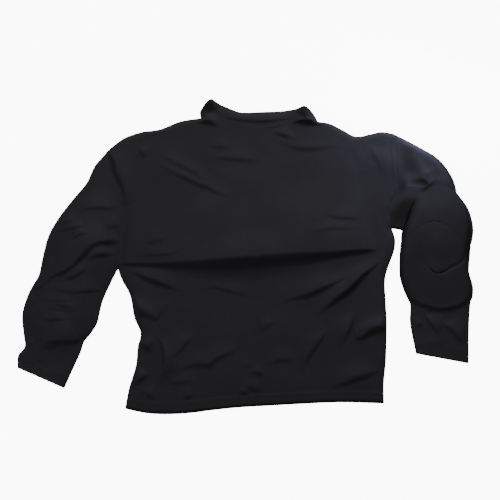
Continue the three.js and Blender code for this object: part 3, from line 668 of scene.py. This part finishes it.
# %% [markdown]
# ## The back panel
# The cloth is highest in its middle and turns down round the folded sides, the hem and the
# shoulders. The hem is turned up and stitched, so its last 19 mm stand 0.6 mm higher.

# %% The back
BODY_LOFT = 0.003
EDGE_ROLL = 0.014
HEM_ROLL = 0.034
EDGE_ROUND = 0.004
EDGE_LOW = 0.0012
HEM_DEPTH = 0.019
HEM_STEP = 0.0006
HEM_STEP_WIDTH = 0.002
SEAM_DROP, SEAM_FADE = 0.0008, 0.02
SEAM_RIM, SEAM_RIM_AT, SEAM_RIM_WIDTH = 0.0004, 0.004, 0.0028
BACK_WAVES = (0.055, 0.0008, (0.6, 1)), (0.018, 0.00022)  # length, height, stretch
CLOTH_THICKNESS = 0.0012
SHOULDER_LINES = [fine(LEFT_SHOULDER, 30), fine(RIGHT_SHOULDER, 30)]
HEM_LINE = fine(HEM, 60)
BODY_EDGES = [LEFT_SEAM, RIGHT_SEAM, HEM_LINE, *SHOULDER_LINES]


def rolled(away):
    """Share of its full height that loose cloth reaches at a distance from a folded edge."""
    return np.sin(np.pi / 2 * np.clip(away / EDGE_ROLL, 0, 1))


def back_height(xy):
    away = edge_distance(BODY_EDGES, xy)
    from_hem = nearest(HEM_LINE, xy)[0]
    roll = rolled(edge_distance([LEFT_SEAM, RIGHT_SEAM, *SHOULDER_LINES], xy))
    roll *= grow(0.75, smooth(from_hem / HEM_ROLL))
    relief = BODY_LOFT + creases(BACK_CREASES, xy) + ridges(SEAM_RIDGE, xy)
    relief += ripple(xy, *BACK_WAVES[0]) + ripple(xy, *BACK_WAVES[1])
    hem = HEM_STEP * smooth((HEM_DEPTH - from_hem) / HEM_STEP_WIDTH + 0.5)
    armhole = edge_distance([LEFT_ARMHOLE, RIGHT_ARMHOLE], xy)
    seam = SEAM_RIM * np.exp(-((armhole - SEAM_RIM_AT) / SEAM_RIM_WIDTH) ** 2)
    seam -= SEAM_DROP * (1 - smooth(armhole / SEAM_FADE))
    full = LAYERS + np.maximum(relief, 0) * roll + hem + seam
    return EDGE_LOW + (full - EDGE_LOW) * dome(away / EDGE_ROUND)


BACK_COLUMNS, BACK_ROWS = 190, 220
BODY_CLOTH = np.array([0.48, 0.56])
back = sheet("back_cloth", BACK_COLUMNS, BACK_ROWS, body_plan(BACK_NECK), back_height, BODY_CLOTH,
             CLOTH, CLOTH_THICKNESS)
stands_for(back, "back_panel")

# %% [markdown]
# ## The front panel
# The front lies face down on the table, so only its hem edge shows past the back. It is cut
# lower at the neck. A plain flat sheet with the same seams is enough.

# %% The front
FRONT_COLUMNS, FRONT_ROWS = 70, 80
FRONT_INSET = 0.0012
FRONT_TOP = 0.0013
FRONT_MIDDLE = np.array([0.02, 0.0])


def front_height(xy):
    return np.full(len(xy), FRONT_TOP)


def front_plan(u, v):
    xy = body_plan(FRONT_NECK)(u, v)
    inward = FRONT_MIDDLE - xy
    return xy + inward / np.linalg.norm(inward, axis=1)[:, None] * FRONT_INSET


front = sheet("front_cloth", FRONT_COLUMNS, FRONT_ROWS, front_plan, front_height, BODY_CLOTH,
              CLOTH, CLOTH_THICKNESS)
stands_for(front, "front_panel")

# %% [markdown]
# ## The plan of the sleeves
# A sleeve is one tube, here pressed flat. Each row of its table is a section from the inner edge
# to the outer edge. The sections fan out round the underarm, as a bent sleeve's do.

# %% Sections of the sleeves
# inner x, inner y, outer x, outer y
LEFT_SLEEVE = [
    (-227, -37, -262, 200), (-230, -43, -281, 172), (-232, -49, -294, 136), (-235, -56, -314, 106),
    (-239, -67, -338, 68), (-246, -85, -356, 28), (-252, -105, -363, -12), (-255, -124, -368, -50),
    (-259, -144, -382, -82), (-268, -161, -391, -124), (-279, -177, -386, -161),
    (-284, -196, -382, -186), (-294, -223, -392, -202), (-308, -261, -391, -224),
]
RIGHT_SLEEVE = [
    (266, 42, 280, 241), (272, 41, 300, 229), (277, 40, 331, 209), (281, 39, 361, 186),
    (284, 36, 382, 150), (283, 27, 390, 110), (279, 6, 410, 60), (276, -20, 406, 6),
    (275, -55, 399, -47), (282, -84, 402, -78), (290, -106, 396, -110), (288, -140, 391, -148),
    (295, -198, 385, -216),
]
ARMHOLE_FADE = 6
TUCK = 0.0015  # how far a sleeve's end reaches under the body's edge


def sleeve_plan(table, side, underarm, inward):
    t = mm(table)

    def plan(u, v):
        across = u[:, None]
        fade = ((1 - v) ** ARMHOLE_FADE)[:, None]
        armhole = side(underarm + (1 - underarm) * u)
        straight = t[0, 0:2] * (1 - across) + t[0, 2:4] * across
        xy = curve(t[:, 0:2], v) * (1 - across) + curve(t[:, 2:4], v) * across
        xy = xy + (armhole - straight) * fade
        xy[:, 0] += inward * TUCK * fade[:, 0]
        return xy
    return plan


left_plan = sleeve_plan(LEFT_SLEEVE, left_side, LEFT_UNDERARM, 1)
right_plan = sleeve_plan(RIGHT_SLEEVE, right_side, RIGHT_UNDERARM, -1)
EDGE_STEPS = np.linspace(0, 1, 90)
LEFT_EDGES = [left_plan(EDGE_STEPS * 0 + end, EDGE_STEPS) for end in (0, 1)]
RIGHT_EDGES = [right_plan(EDGE_STEPS * 0 + end, EDGE_STEPS) for end in (0, 1)]

# %% [markdown]
# ## The creases of the sleeves
# The left sleeve is bent, so its cloth gathers in folds that run round the elbow from the inner
# side, with finer drag lines above and below. The right one is filled by its pads and stays
# smooth down to the wrist, where the empty end of the sleeve creases again.

# %% Creases of the sleeves
LEFT_CREASES = ARMHOLE_CREASES + [
    (8.8, 6.5, 32, [(-373, -84, 1.5), (-360, -76, 1.7), (-348, -64, 1.9), (-335, -56, 2.2),
        (-322, -52, 2.7), (-310, -43, 3.3), (-299, -32, 3.8), (-290, -21, 4.2), (-280, -8, 4.5),
        (-270, 1, 4.6), (-259, 6, 4.4), (-248, 9, 3.9), (-240, 11, 3.2), (-226, 14, 2)]),
    (3.2, 2.9, 15, [(-284, -33), (-268, -19), (-258, -17), (-247, -15), (-234, -12), (-226, -12)]),
    (2.5, 2.5, 13, [(-330, -69), (-312, -64), (-299, -58), (-289, -50), (-281, -41), (-274, -30)]),
    (1.9, 2.2, 16, [(-305, -92), (-289, -89), (-278, -87), (-262, -84), (-248, -81)]),
    (1.7, 2.6, 16, [(-340, -111), (-314, -116), (-295, -119)]),
    (1.9, 2.3, 14, [(-362, -135), (-348, -141), (-330, -141), (-302, -140)]),
    (3.4, 3.3, 27, [(-363, -168), (-350, -179), (-337, -182), (-321, -181), (-307, -181),
        (-297, -180), (-286, -175), (-279, -168), (-264, -160)]),
    (2.3, 2.5, 11, [(-384, -197), (-377, -189), (-372, -185), (-360, -180)]),
    (1.8, 2.9, 13, [(-358, -181), (-344, -188), (-333, -190), (-323, -192)]),
    (1.3, 2.9, 13, [(-364, -207), (-350, -214), (-335, -221)]),
    (1.0, 2.2, 11, [(-384, -214), (-372, -217), (-360, -218)]),
    (1.9, 2.2, 13, [(-239, 200), (-234, 177), (-230, 157), (-227, 140)]),
    (2.3, 2.6, 18, [(-310, 68), (-296, 74), (-285, 78), (-268, 79), (-251, 79), (-238, 82),
        (-224, 86)]),
    (1.9, 2.2, 14, [(-338, 44), (-325, 49), (-314, 54), (-303, 60)]),
    (2.6, 2.4, 16, [(-345, 32), (-321, 34), (-305, 37), (-294, 40), (-281, 44)]),
    (2.2, 2.2, 13, [(-314, 12), (-301, 20), (-296, 23), (-281, 25)]),
    (2.3, 4.4, 19, [(-255, 33), (-238, 42), (-221, 47)]),
    (1.9, 2.9, 11, [(-323, 68), (-306, 100), (-290, 122), (-278, 144), (-266, 174)]),
    (1.2, 2.6, 13, [(-368, -101), (-336, -105), (-297, -106)]),
    (1.1, 2.6, 13, [(-356, -120), (-320, -123), (-282, -125)]),
    (1.4, 2.6, 13, [(-348, -82), (-323, -87), (-298, -89), (-274, -82)]),
]
RIGHT_CREASES = [
    (2.8, 2.5, 14, [(313, -123), (316, -133), (321, -142), (327, -151), (333, -162), (340, -169)]),
    (2.9, 2.6, 16, [(343, -138), (350, -150), (359, -157), (366, -167), (371, -174), (381, -183)]),
    (1.5, 2.2, 11, [(293, -148), (303, -148), (314, -147)]),
    (0.9, 2.2, 13, [(305, -181), (330, -182), (356, -181)]),
]
print("creases on the sleeves:", len(LEFT_CREASES) + len(RIGHT_CREASES))

# %% [markdown]
# ## The two sleeves
# The viewer's left sleeve is turned so that its pads lie under it and lift it. `left_lift` is that
# height: it fades towards the folded edges and both ends, so the cloth slopes down past the
# pads. Each sleeve is a grid wrapped once round, joined along the fold where its ends meet.

# %% How high the pads hold the sleeves
LEFT_PAD_THICKNESS = 0.009
LIFT_SIDES = 0.34  # share of the sleeve's width over which the lift fades
LIFT_FROM, LIFT_TO = (0.02, 0.30), (0.94, 0.22)  # where along the sleeve, and over what share
TENT_HEIGHT = 0.0108
TENT_FROM_Y, TENT_FROM_SEAM = (0.046, 0.054), 0.020  # where it starts, and over what length
TENT_TO_Y, TENT_TO_X = (0.112, 0.05), (0.320, 0.03)


def left_lift(u, v):
    across = smooth(u / LIFT_SIDES) * smooth((1 - u) / LIFT_SIDES)
    lengthwise = smooth((v - LIFT_FROM[0]) / LIFT_FROM[1]) * smooth((LIFT_TO[0] - v) / LIFT_TO[1])
    return LEFT_PAD_THICKNESS * across * lengthwise


def no_lift(u, v):
    return 0 * u


def past(start_and_length, x):
    return smooth((x - start_and_length[0]) / start_and_length[1])


def tent(xy):
    """Between the armhole and the pads the cloth of the padded sleeve is held up like a tent."""
    x, y = xy.T
    towards_pad = past(TENT_FROM_Y, y) * smooth(nearest(RIGHT_ARMHOLE, xy)[0] / TENT_FROM_SEAM)
    return TENT_HEIGHT * towards_pad * (1 - past(TENT_TO_Y, y)) * (1 - past(TENT_TO_X, x))


# %% The cloth of a sleeve
SLEEVE_LOFT = 0.002
SLEEVE_ROUND = 0.004
SLEEVE_WAVES = (0.05, 0.0008), (0.017, 0.00022)
FLOOR_CLEARANCE = 0.0002
CUFF_STEP, CUFF_STEP_SHARE = 0.0003, 0.004
SLEEVE_CLOTH = np.array([0.25, 0.42])
SLEEVE_THICKNESS = 0.0011


def loose(table, xy):
    waves, small_waves = SLEEVE_WAVES
    return SLEEVE_LOFT + creases(table, xy) + ripple(xy, *waves) + ripple(xy, *small_waves)


def left_relief(xy):
    return loose(LEFT_CREASES, xy)


def right_relief(xy):
    return loose(RIGHT_CREASES, xy) + tent(xy)


def sleeve_top(xy, low, edges, relief, v, cuff):
    away = edge_distance(edges, xy)
    hem = CUFF_STEP * smooth((v - cuff) / CUFF_STEP_SHARE + 0.5)
    return low + LAYERS + np.maximum(relief(xy), 0) * rolled(away) + hem, away


def sleeve_surface(plan, edges, relief, lift, cuff):
    def surface(across, v, over):
        xy = plan(across, v)
        low = lift(across, v)
        high, away = sleeve_top(xy, low, edges, relief, v, cuff)
        middle = low + LAYERS / 2
        end = np.where(over, high, low + FLOOR_CLEARANCE)
        return lifted(xy, middle + (end - middle) * dome(away / SLEEVE_ROUND))
    return surface


# %% Make the sleeves
AROUND, ALONG_SLEEVE = 150, 190
# plan, edges, creases, lift, and the share of the length at which the cuff's hem starts
LEFT = (left_plan, LEFT_EDGES, left_relief, left_lift, 0.961)
RIGHT = (right_plan, RIGHT_EDGES, right_relief, no_lift, 0.972)
for side, name, width in ((LEFT, "left_sleeve", 0.30), (RIGHT, "right_sleeve", 0.28)):
    sleeve = tube(name + "_cloth", AROUND, ALONG_SLEEVE, sleeve_surface(*side), SLEEVE_CLOTH, CLOTH,
                  SLEEVE_THICKNESS)
    stands_for(sleeve, name)

# %% [markdown]
# ## The collar
# The mock collar is a band about 36 mm high, folded flat: its back half lies on its front half,
# and both corners of the fold stand up like ears because the band keeps some spring. It is
# another tube, and its two halves follow the two necklines. A soft rolled line crosses the back.

# %% Edges and creases of the collar
COLLAR_LEFT_FOLD = mm([(-84, 276), (-87, 288), (-79, 300), (-66, 311)])
COLLAR_RIGHT_FOLD = mm([(137, 268), (132, 279), (125, 287), (112, 296)])
COLLAR_BACK_EDGE = mm([(-66, 311), (-50, 305), (-20, 291), (-8, 287), (31, 288), (71, 290),
                       (94, 294), (112, 296)])
COLLAR_FRONT_EDGE = mm([(-66, 311), (-48, 284), (-16, 266), (26, 260), (68, 263), (96, 276),
                        (112, 296)])
EARS = [((-0.070, 0.308), 0.013, 0.026), ((0.116, 0.294), 0.012, 0.024)]  # place, height, reach
COLLAR_CREASES = [
    (2.1, 3.5, 14, [(-60, 286), (-51, 282), (-39, 275), (-25, 270), (-1, 266), (23, 264), (46, 265),
        (70, 269), (89, 273), (110, 278)]),
    (1.8, 3, 7, [(108, 268), (114, 270), (119, 277), (122, 285)]),
]


# %% Make the collar
COLLAR_WALL = 0.0011
COLLAR_WAVES = 0.03, 0.0004
COLLAR_SIDE, COLLAR_ROUND = 0.12, 0.06  # shares of the band's width
COLLAR_COLUMNS, COLLAR_ROWS = 180, 34
COLLAR_CLOTH = np.array([0.46, 0.05])


def ear_lift(xy):
    lift = np.zeros(len(xy))
    for (x, y), height, reach in EARS:
        lift += height * smooth(1 - np.hypot(xy[:, 0] - x, xy[:, 1] - y) / reach)
    return lift


COLLAR_FREE = [fine(line, 30) for line in (COLLAR_LEFT_FOLD, COLLAR_RIGHT_FOLD, COLLAR_BACK_EDGE)]
collar_back = patch(BACK_NECK, COLLAR_BACK_EDGE, COLLAR_LEFT_FOLD, COLLAR_RIGHT_FOLD)
collar_front = patch(FRONT_NECK, COLLAR_FRONT_EDGE, COLLAR_LEFT_FOLD, COLLAR_RIGHT_FOLD)


def collar_top(xy):
    away = edge_distance(COLLAR_FREE, xy)
    relief = BODY_LOFT + creases(COLLAR_CREASES + NECK_CREASES, xy) + ripple(xy, *COLLAR_WAVES)
    return LAYERS + relief * rolled(away) + ear_lift(xy)


def collar_surface(across, v, over):
    xy = np.where(over[:, None], collar_back(across, v), collar_front(across, v))
    side = np.minimum(across, 1 - across)
    ears = ear_lift(xy)
    under = ears + FLOOR_CLEARANCE + COLLAR_WALL * (1 - smooth(side / COLLAR_SIDE))
    middle = ears + LAYERS / 2
    turn = dome(4 * side / COLLAR_ROUND)
    return lifted(xy, middle + (np.where(over, collar_top(xy), under) - middle) * turn)


collar = tube("collar_cloth", COLLAR_COLUMNS, COLLAR_ROWS, collar_surface, COLLAR_CLOTH, CLOTH,
              COLLAR_WALL)
stands_for(collar, "collar_band")

# %% [markdown]
# ## The pads of the right sleeve
# Foam pads are sewn between two layers of jersey, so from outside they show as one swollen arm
# with soft channels between them. One height for all five gives that: it falls to the cloth at
# the outer edges, dips along the stitched channels, and swells a little more inside each pad.
# Every pad is its own closed form: a crowned upper skin, and a lower one that lies on the sleeve.

# %% Channels and edges of the pads
LIP = mm([(319.5, 119), (332, 125), (347.5, 138.5), (361.5, 154.5), (369.5, 169.5)])
RIM = mm([(318, 110), (340, 119.7), (367, 119.7), (387, 110)])
CUP_UPPER = mm([(283.5, 1), (300, 25.2), (323.6, 43.1), (342, 50.2), (360.5, 43.1), (378.9, 20.6),
                (396.2, -8.2)])
CUP_LOWER = mm([(283.5, 1), (301.3, -14.4), (323.4, -38), (341, -51.2), (365.5, -41.1),
                (387, -26.6), (396.2, -8.2)])
ELBOW_INNER = mm([(283.5, 1), (281, 24), (296, 68), (305, 91), (318, 110)])
ELBOW_OUTER = mm([(396.2, -8.2), (407, 10), (413, 34), (413, 56), (408, 81), (400, 97), (387, 110)])
FOREARM_OUTER = mm([(394, -105), (400, -97), (404, -76), (399, -47), (396.2, -8.2)])
FOREARM_END = mm([(289, -103), (304, -112), (324, -120), (350, -123), (377, -116), (394, -105)])
FOREARM_INNER = mm([(289, -103), (281, -82), (277, -55), (278, -22), (283.5, 1)])
SHOULDER_SEAM = mm([(284, 117), (284, 150), (284, 200), (285, 233)])
SHOULDER_OUTER = mm([(285, 233), (297, 227), (320, 213), (341, 198), (358, 185), (369.5, 169.5)])
SHOULDER_LOWER = mm([(284, 117), (300, 119), (319.5, 119)])
UPPER_ARM_OUTER = mm([(387, 110), (386, 132), (380, 152), (369.5, 169.5)])
UPPER_ARM_INNER = mm([(318, 110), (319.5, 119)])

# Each channel: its line, its depth, how much deeper it gets, and at which share of the line.
CHANNELS = [(fine(RIM), 0.0000, 0.0004, 0.95), (fine(CUP_UPPER), 0.0001, 0.0001, 0.5),
            (fine(CUP_LOWER), 0.0001, 0.0015, 0.72)]
# The pads rise from the sides of the arm, which pass outside the notches between the pads, so that
# the arm stays full there.
ARM_INNER = mm([(318, 110), (303, 78), (285, 34), (278, 2), (275, -30), (277, -62), (282, -86),
                (289, -103)])
ARM_OUTER = mm([(285, 233), (320, 214), (342, 199), (359, 186), (371, 170), (386, 140), (393, 112),
                (408, 81), (414, 45), (407, 2), (401, -36), (405, -78), (394, -105)])
# Each side: its line, the width of the rise, and whether the rise is soft and only on its left.
ARM_SIDES = [(fine(ARM_OUTER), 0.024, False, False), (fine(ARM_INNER), 0.021, False, False),
             (fine(SHOULDER_SEAM), 0.050, True, False), (fine(SHOULDER_LOWER), 0.020, True, True),
             (fine(FOREARM_END), 0.009, True, False)]

# %% Height of the padded arm
PAD_SEAT = 0.0058
PAD_HEIGHT = 0.012
PAD_LIP = 0.0003
CHANNEL_WIDTH = 0.0029
CHANNEL_SPREAD = 0.27  # share of a channel's length over which it is deeper
WRIST_HEIGHT, WRIST_TAPER = 0.24, 0.17
PAD_WAVES = 0.03, 0.0004
THINNEST = 0.001
PAD_RIDGES = [(-1.4, 14, 12, [(312, 214), (322, 190), (332, 166), (340, 146)])]
PAD_CREASES = [
    (0.9, 2.4, 10, [(306, 100), (313, 104), (325, 112), (334, 119), (344, 129), (356, 144)]),
]


def arm_seat(xy):
    away = edge_distance(RIGHT_EDGES, xy)
    inside = np.where(nearest(RIGHT_EDGES[1], xy)[2] < 0, away, 0)
    full = LAYERS + np.maximum(right_relief(xy), 0) * rolled(inside)
    return LAYERS / 2 + (full - LAYERS / 2) * dome(inside / SLEEVE_ROUND)


def pad_top(xy, swell):
    seat = arm_seat(xy)
    rise = np.ones(len(xy))
    for line, width, soft, left_only in ARM_SIDES:
        away, _, side = nearest(line, xy)
        if left_only:
            away = np.where(side > 0, away, 1)
        rise *= smooth(away / width) if soft else 1 - (1 - np.clip(away / width, 0, 1)) ** 3
    rise *= grow(WRIST_HEIGHT, smooth(nearest(fine(FOREARM_END), xy)[0] / WRIST_TAPER))
    dip = np.zeros(len(xy))
    for line, depth, extra, middle in CHANNELS:
        away, share, _ = nearest(line, xy)
        deep = depth + extra * np.exp(-(((share - middle) / CHANNEL_SPREAD) ** 2))
        dip = np.maximum(dip, deep * np.exp(-((away / CHANNEL_WIDTH) ** 2)))
    height = PAD_HEIGHT + swell + ridges(PAD_RIDGES, xy) + creases(PAD_CREASES, xy) - dip
    height += ripple(xy, *PAD_WAVES)
    return seat + PAD_LIP + np.maximum(PAD_SEAT - seat + height - PAD_LIP, THINNEST) * rise


# %% Make a pad from its four edges
PAD_CELLS = 64
PAD_INSET = 0.00002  # keeps neighbouring pads from touching
PAD_CLEARANCE = 0.0001


def raise_top(bm, heights):
    """Extrudes the grid and lifts its copy, corner by corner."""
    spots = {tuple(round(c, 6) for c in v.co[:2]): z for v, z in zip(bm.verts, heights)}
    extruded = bmesh.ops.extrude_face_region(bm, geom=bm.faces[:], use_keep_orig=True)["geom"]
    for v in extruded:
        if isinstance(v, bmesh.types.BMVert):
            v.co.z = spots[tuple(round(c, 6) for c in v.co[:2])]
    bmesh.ops.recalc_face_normals(bm, faces=bm.faces)


def pad(name, south, north, west, east, swell):
    bm, uv = grid(PAD_CELLS, PAD_CELLS)
    xy = patch(south, north, west, east)(uv[:, 0], uv[:, 1])
    centre = xy.mean(axis=0)
    xy = xy + (centre - xy) / np.linalg.norm(centre - xy, axis=1)[:, None].clip(0.001) * PAD_INSET
    place(bm, uv, lifted(xy, arm_seat(xy) + PAD_CLEARANCE), xy.max(axis=0) - xy.min(axis=0))
    crown = np.prod(np.sin(np.pi * uv.clip(0, 1)).clip(0), axis=1) ** 2
    top = pad_top(xy, swell * crown)
    raise_top(bm, top)
    # The cover's darker colour is painted shade.
    piece = new_object(name + "_cover", bm, PAD_CLOTH_PAINTED_DARKER)
    stands_for(piece, "right_" + name)
    print(f"{name}: top at {top.max() * 1000:.1f} mm")


# %% The five pads
# name, its lower, upper, left and right edge, and how much it swells
pad("shoulder_pad", SHOULDER_LOWER, SHOULDER_OUTER, SHOULDER_SEAM, LIP, 0.0008)
pad("upper_arm_pad", RIM, LIP, UPPER_ARM_INNER, UPPER_ARM_OUTER, 0.0003)
pad("elbow_pad", CUP_UPPER, RIM, ELBOW_INNER, ELBOW_OUTER, 0.0006)
pad("elbow_cup", CUP_LOWER[:4], CUP_UPPER[3:], CUP_UPPER[:4], CUP_LOWER[3:], 0.0010)
pad("forearm_pad", FOREARM_END, CUP_LOWER, FOREARM_INNER, FOREARM_OUTER, 0.0007)

# %% [markdown]
# ## The pads of the left sleeve
# These lie under the turned sleeve, so they are seen only from below and from the side. Each is
# a plain foam slab with rounded edges. It follows the sleeve's own plan, so it fits under it.

# %% Foam under the left sleeve
FOAM_CELLS = 24
FOAM_GAP = 0.0005
FOAM_RIM, FOAM_ROUND = 0.6, 0.1
FOAM_CLOTH = np.array([0.1, 0.1])
SECTIONS = len(LEFT_SLEEVE) - 1
# name, shares of the sleeve's width, and the sections between which it lies
FOAM_PADS = [
    ("left_shoulder", 0.50, 0.875, 2.1, 3.9),
    ("left_elbow", 0.1875, 0.875, 4.1, 6.95),
    ("left_forearm", 0.1875, 0.875, 7.05, 8.95),
]
for name, u0, u1, first, last in FOAM_PADS:
    bm, uv = grid(FOAM_CELLS, FOAM_CELLS)
    u = u0 + (u1 - u0) * uv[:, 0]
    v = first / SECTIONS + (last / SECTIONS - first / SECTIONS) * uv[:, 1]
    place(bm, uv, lifted(left_plan(u, v), u * 0 + FLOOR_CLEARANCE), FOAM_CLOTH)
    rim = np.minimum(np.minimum(uv[:, 0], 1 - uv[:, 0]), np.minimum(uv[:, 1], 1 - uv[:, 1]))
    raise_top(bm, (left_lift(u, v) - FOAM_GAP) * grow(FOAM_RIM, dome(rim / FOAM_ROUND)))
    foam = new_object(name + "_foam", bm, PAD_CLOTH_PAINTED_DARKER)
    stands_for(foam, name + "_pad")

# %% [markdown]
# ## Stitching
# Stretch shirts are sewn with flat seams, in rows of short stitches. Here two rows run along each
# armhole on the body's side, one along the back of the neck, and two hold the hem and each cuff.
# Each stitch is a tiny capsule of thread, half sunk in the cloth that it lies on.

# %% Lay stitches along a line on the cloth
STITCH = 0.0024
STITCH_PITCH = 0.0036
THREAD_RADIUS = 0.00028


def stitch_row(bm, line, height):
    run = lengths(line)
    middles = np.arange(STITCH_PITCH / 2, run[-1], STITCH_PITCH)
    ends = [np.stack([np.interp(middles + d, run, line[:, k]) for k in (0, 1)], axis=1)
            for d in (-STITCH / 2, STITCH / 2)]
    heights = [height(end) for end in ends]
    for a, b, za, zb in zip(*ends, *heights):
        start, stop = Vector((*(a + SHIFT), za)), Vector((*(b + SHIFT), zb))
        direction = stop - start
        turn = direction.to_track_quat("X", "Z").to_matrix().to_4x4()
        shape = Matrix.Diagonal((direction.length / 2, THREAD_RADIUS, THREAD_RADIUS, 1))
        bmesh.ops.create_uvsphere(bm, u_segments=6, v_segments=4, radius=1,
                                  matrix=Matrix.Translation((start + stop) / 2) @ turn @ shape)
    return len(middles)


def inset_line(line, by):
    """The line moved to its left by a distance."""
    step = np.gradient(line, axis=0)
    step /= np.linalg.norm(step, axis=1)[:, None]
    return line + np.stack([-step[:, 1], step[:, 0]], axis=1) * by


def sew(name, bm):
    thread = new_object(name, bm, THREAD)
    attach(thread, "root")


# %% Stitch the hem, the armholes and the neck
HEM_ROWS = HEM_DEPTH - 0.0015, HEM_DEPTH - 0.0045  # distance of each row from the edge
ARMHOLE_ROWS = 0.003, 0.0055
NECK_ROW = 0.004
CUFF_ROWS = 0.002, 0.006  # as shares of the sleeve, past the start of its hem

body_stitches = bmesh.new()
count = 0
for depth in HEM_ROWS:
    count += stitch_row(body_stitches, inset_line(HEM_LINE, depth)[1:-1], back_height)
for depth in ARMHOLE_ROWS:
    count += stitch_row(body_stitches, inset_line(LEFT_ARMHOLE, -depth)[2:-2], back_height)
    count += stitch_row(body_stitches, inset_line(RIGHT_ARMHOLE, depth)[2:-2], back_height)
count += stitch_row(body_stitches, inset_line(fine(BACK_NECK, 80), -NECK_ROW)[6:-6], back_height)
sew("body_stitching", body_stitches)
print("stitches on the body:", count)

# %% Stitch the cuffs
cuff_stitches = bmesh.new()
count = 0
across = np.linspace(0.06, 0.94, 60)
for plan, edges, relief, _, cuff in (LEFT, RIGHT):
    for offset in CUFF_ROWS:
        def cuff_height(xy):
            return sleeve_top(xy, 0, edges, relief, np.full(len(xy), cuff + offset), cuff)[0]

        line = plan(across, across * 0 + cuff + offset)
        count += stitch_row(cuff_stitches, line, cuff_height)
sew("cuff_stitching", cuff_stitches)
print("stitches on the cuffs:", count)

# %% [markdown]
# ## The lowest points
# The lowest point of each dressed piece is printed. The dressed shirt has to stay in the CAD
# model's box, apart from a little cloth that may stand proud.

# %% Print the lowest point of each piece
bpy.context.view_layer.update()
finished = bpy.context.evaluated_depsgraph_get()
for piece in bpy.context.scene.objects:
    if piece.name.endswith(("cloth", "cover", "foam", "stitching")):
        lowest = min(corner[2] for corner in piece.evaluated_get(finished).bound_box)
        print(f"{piece.name}: lowest point at {lowest * 1000:.2f} mm")
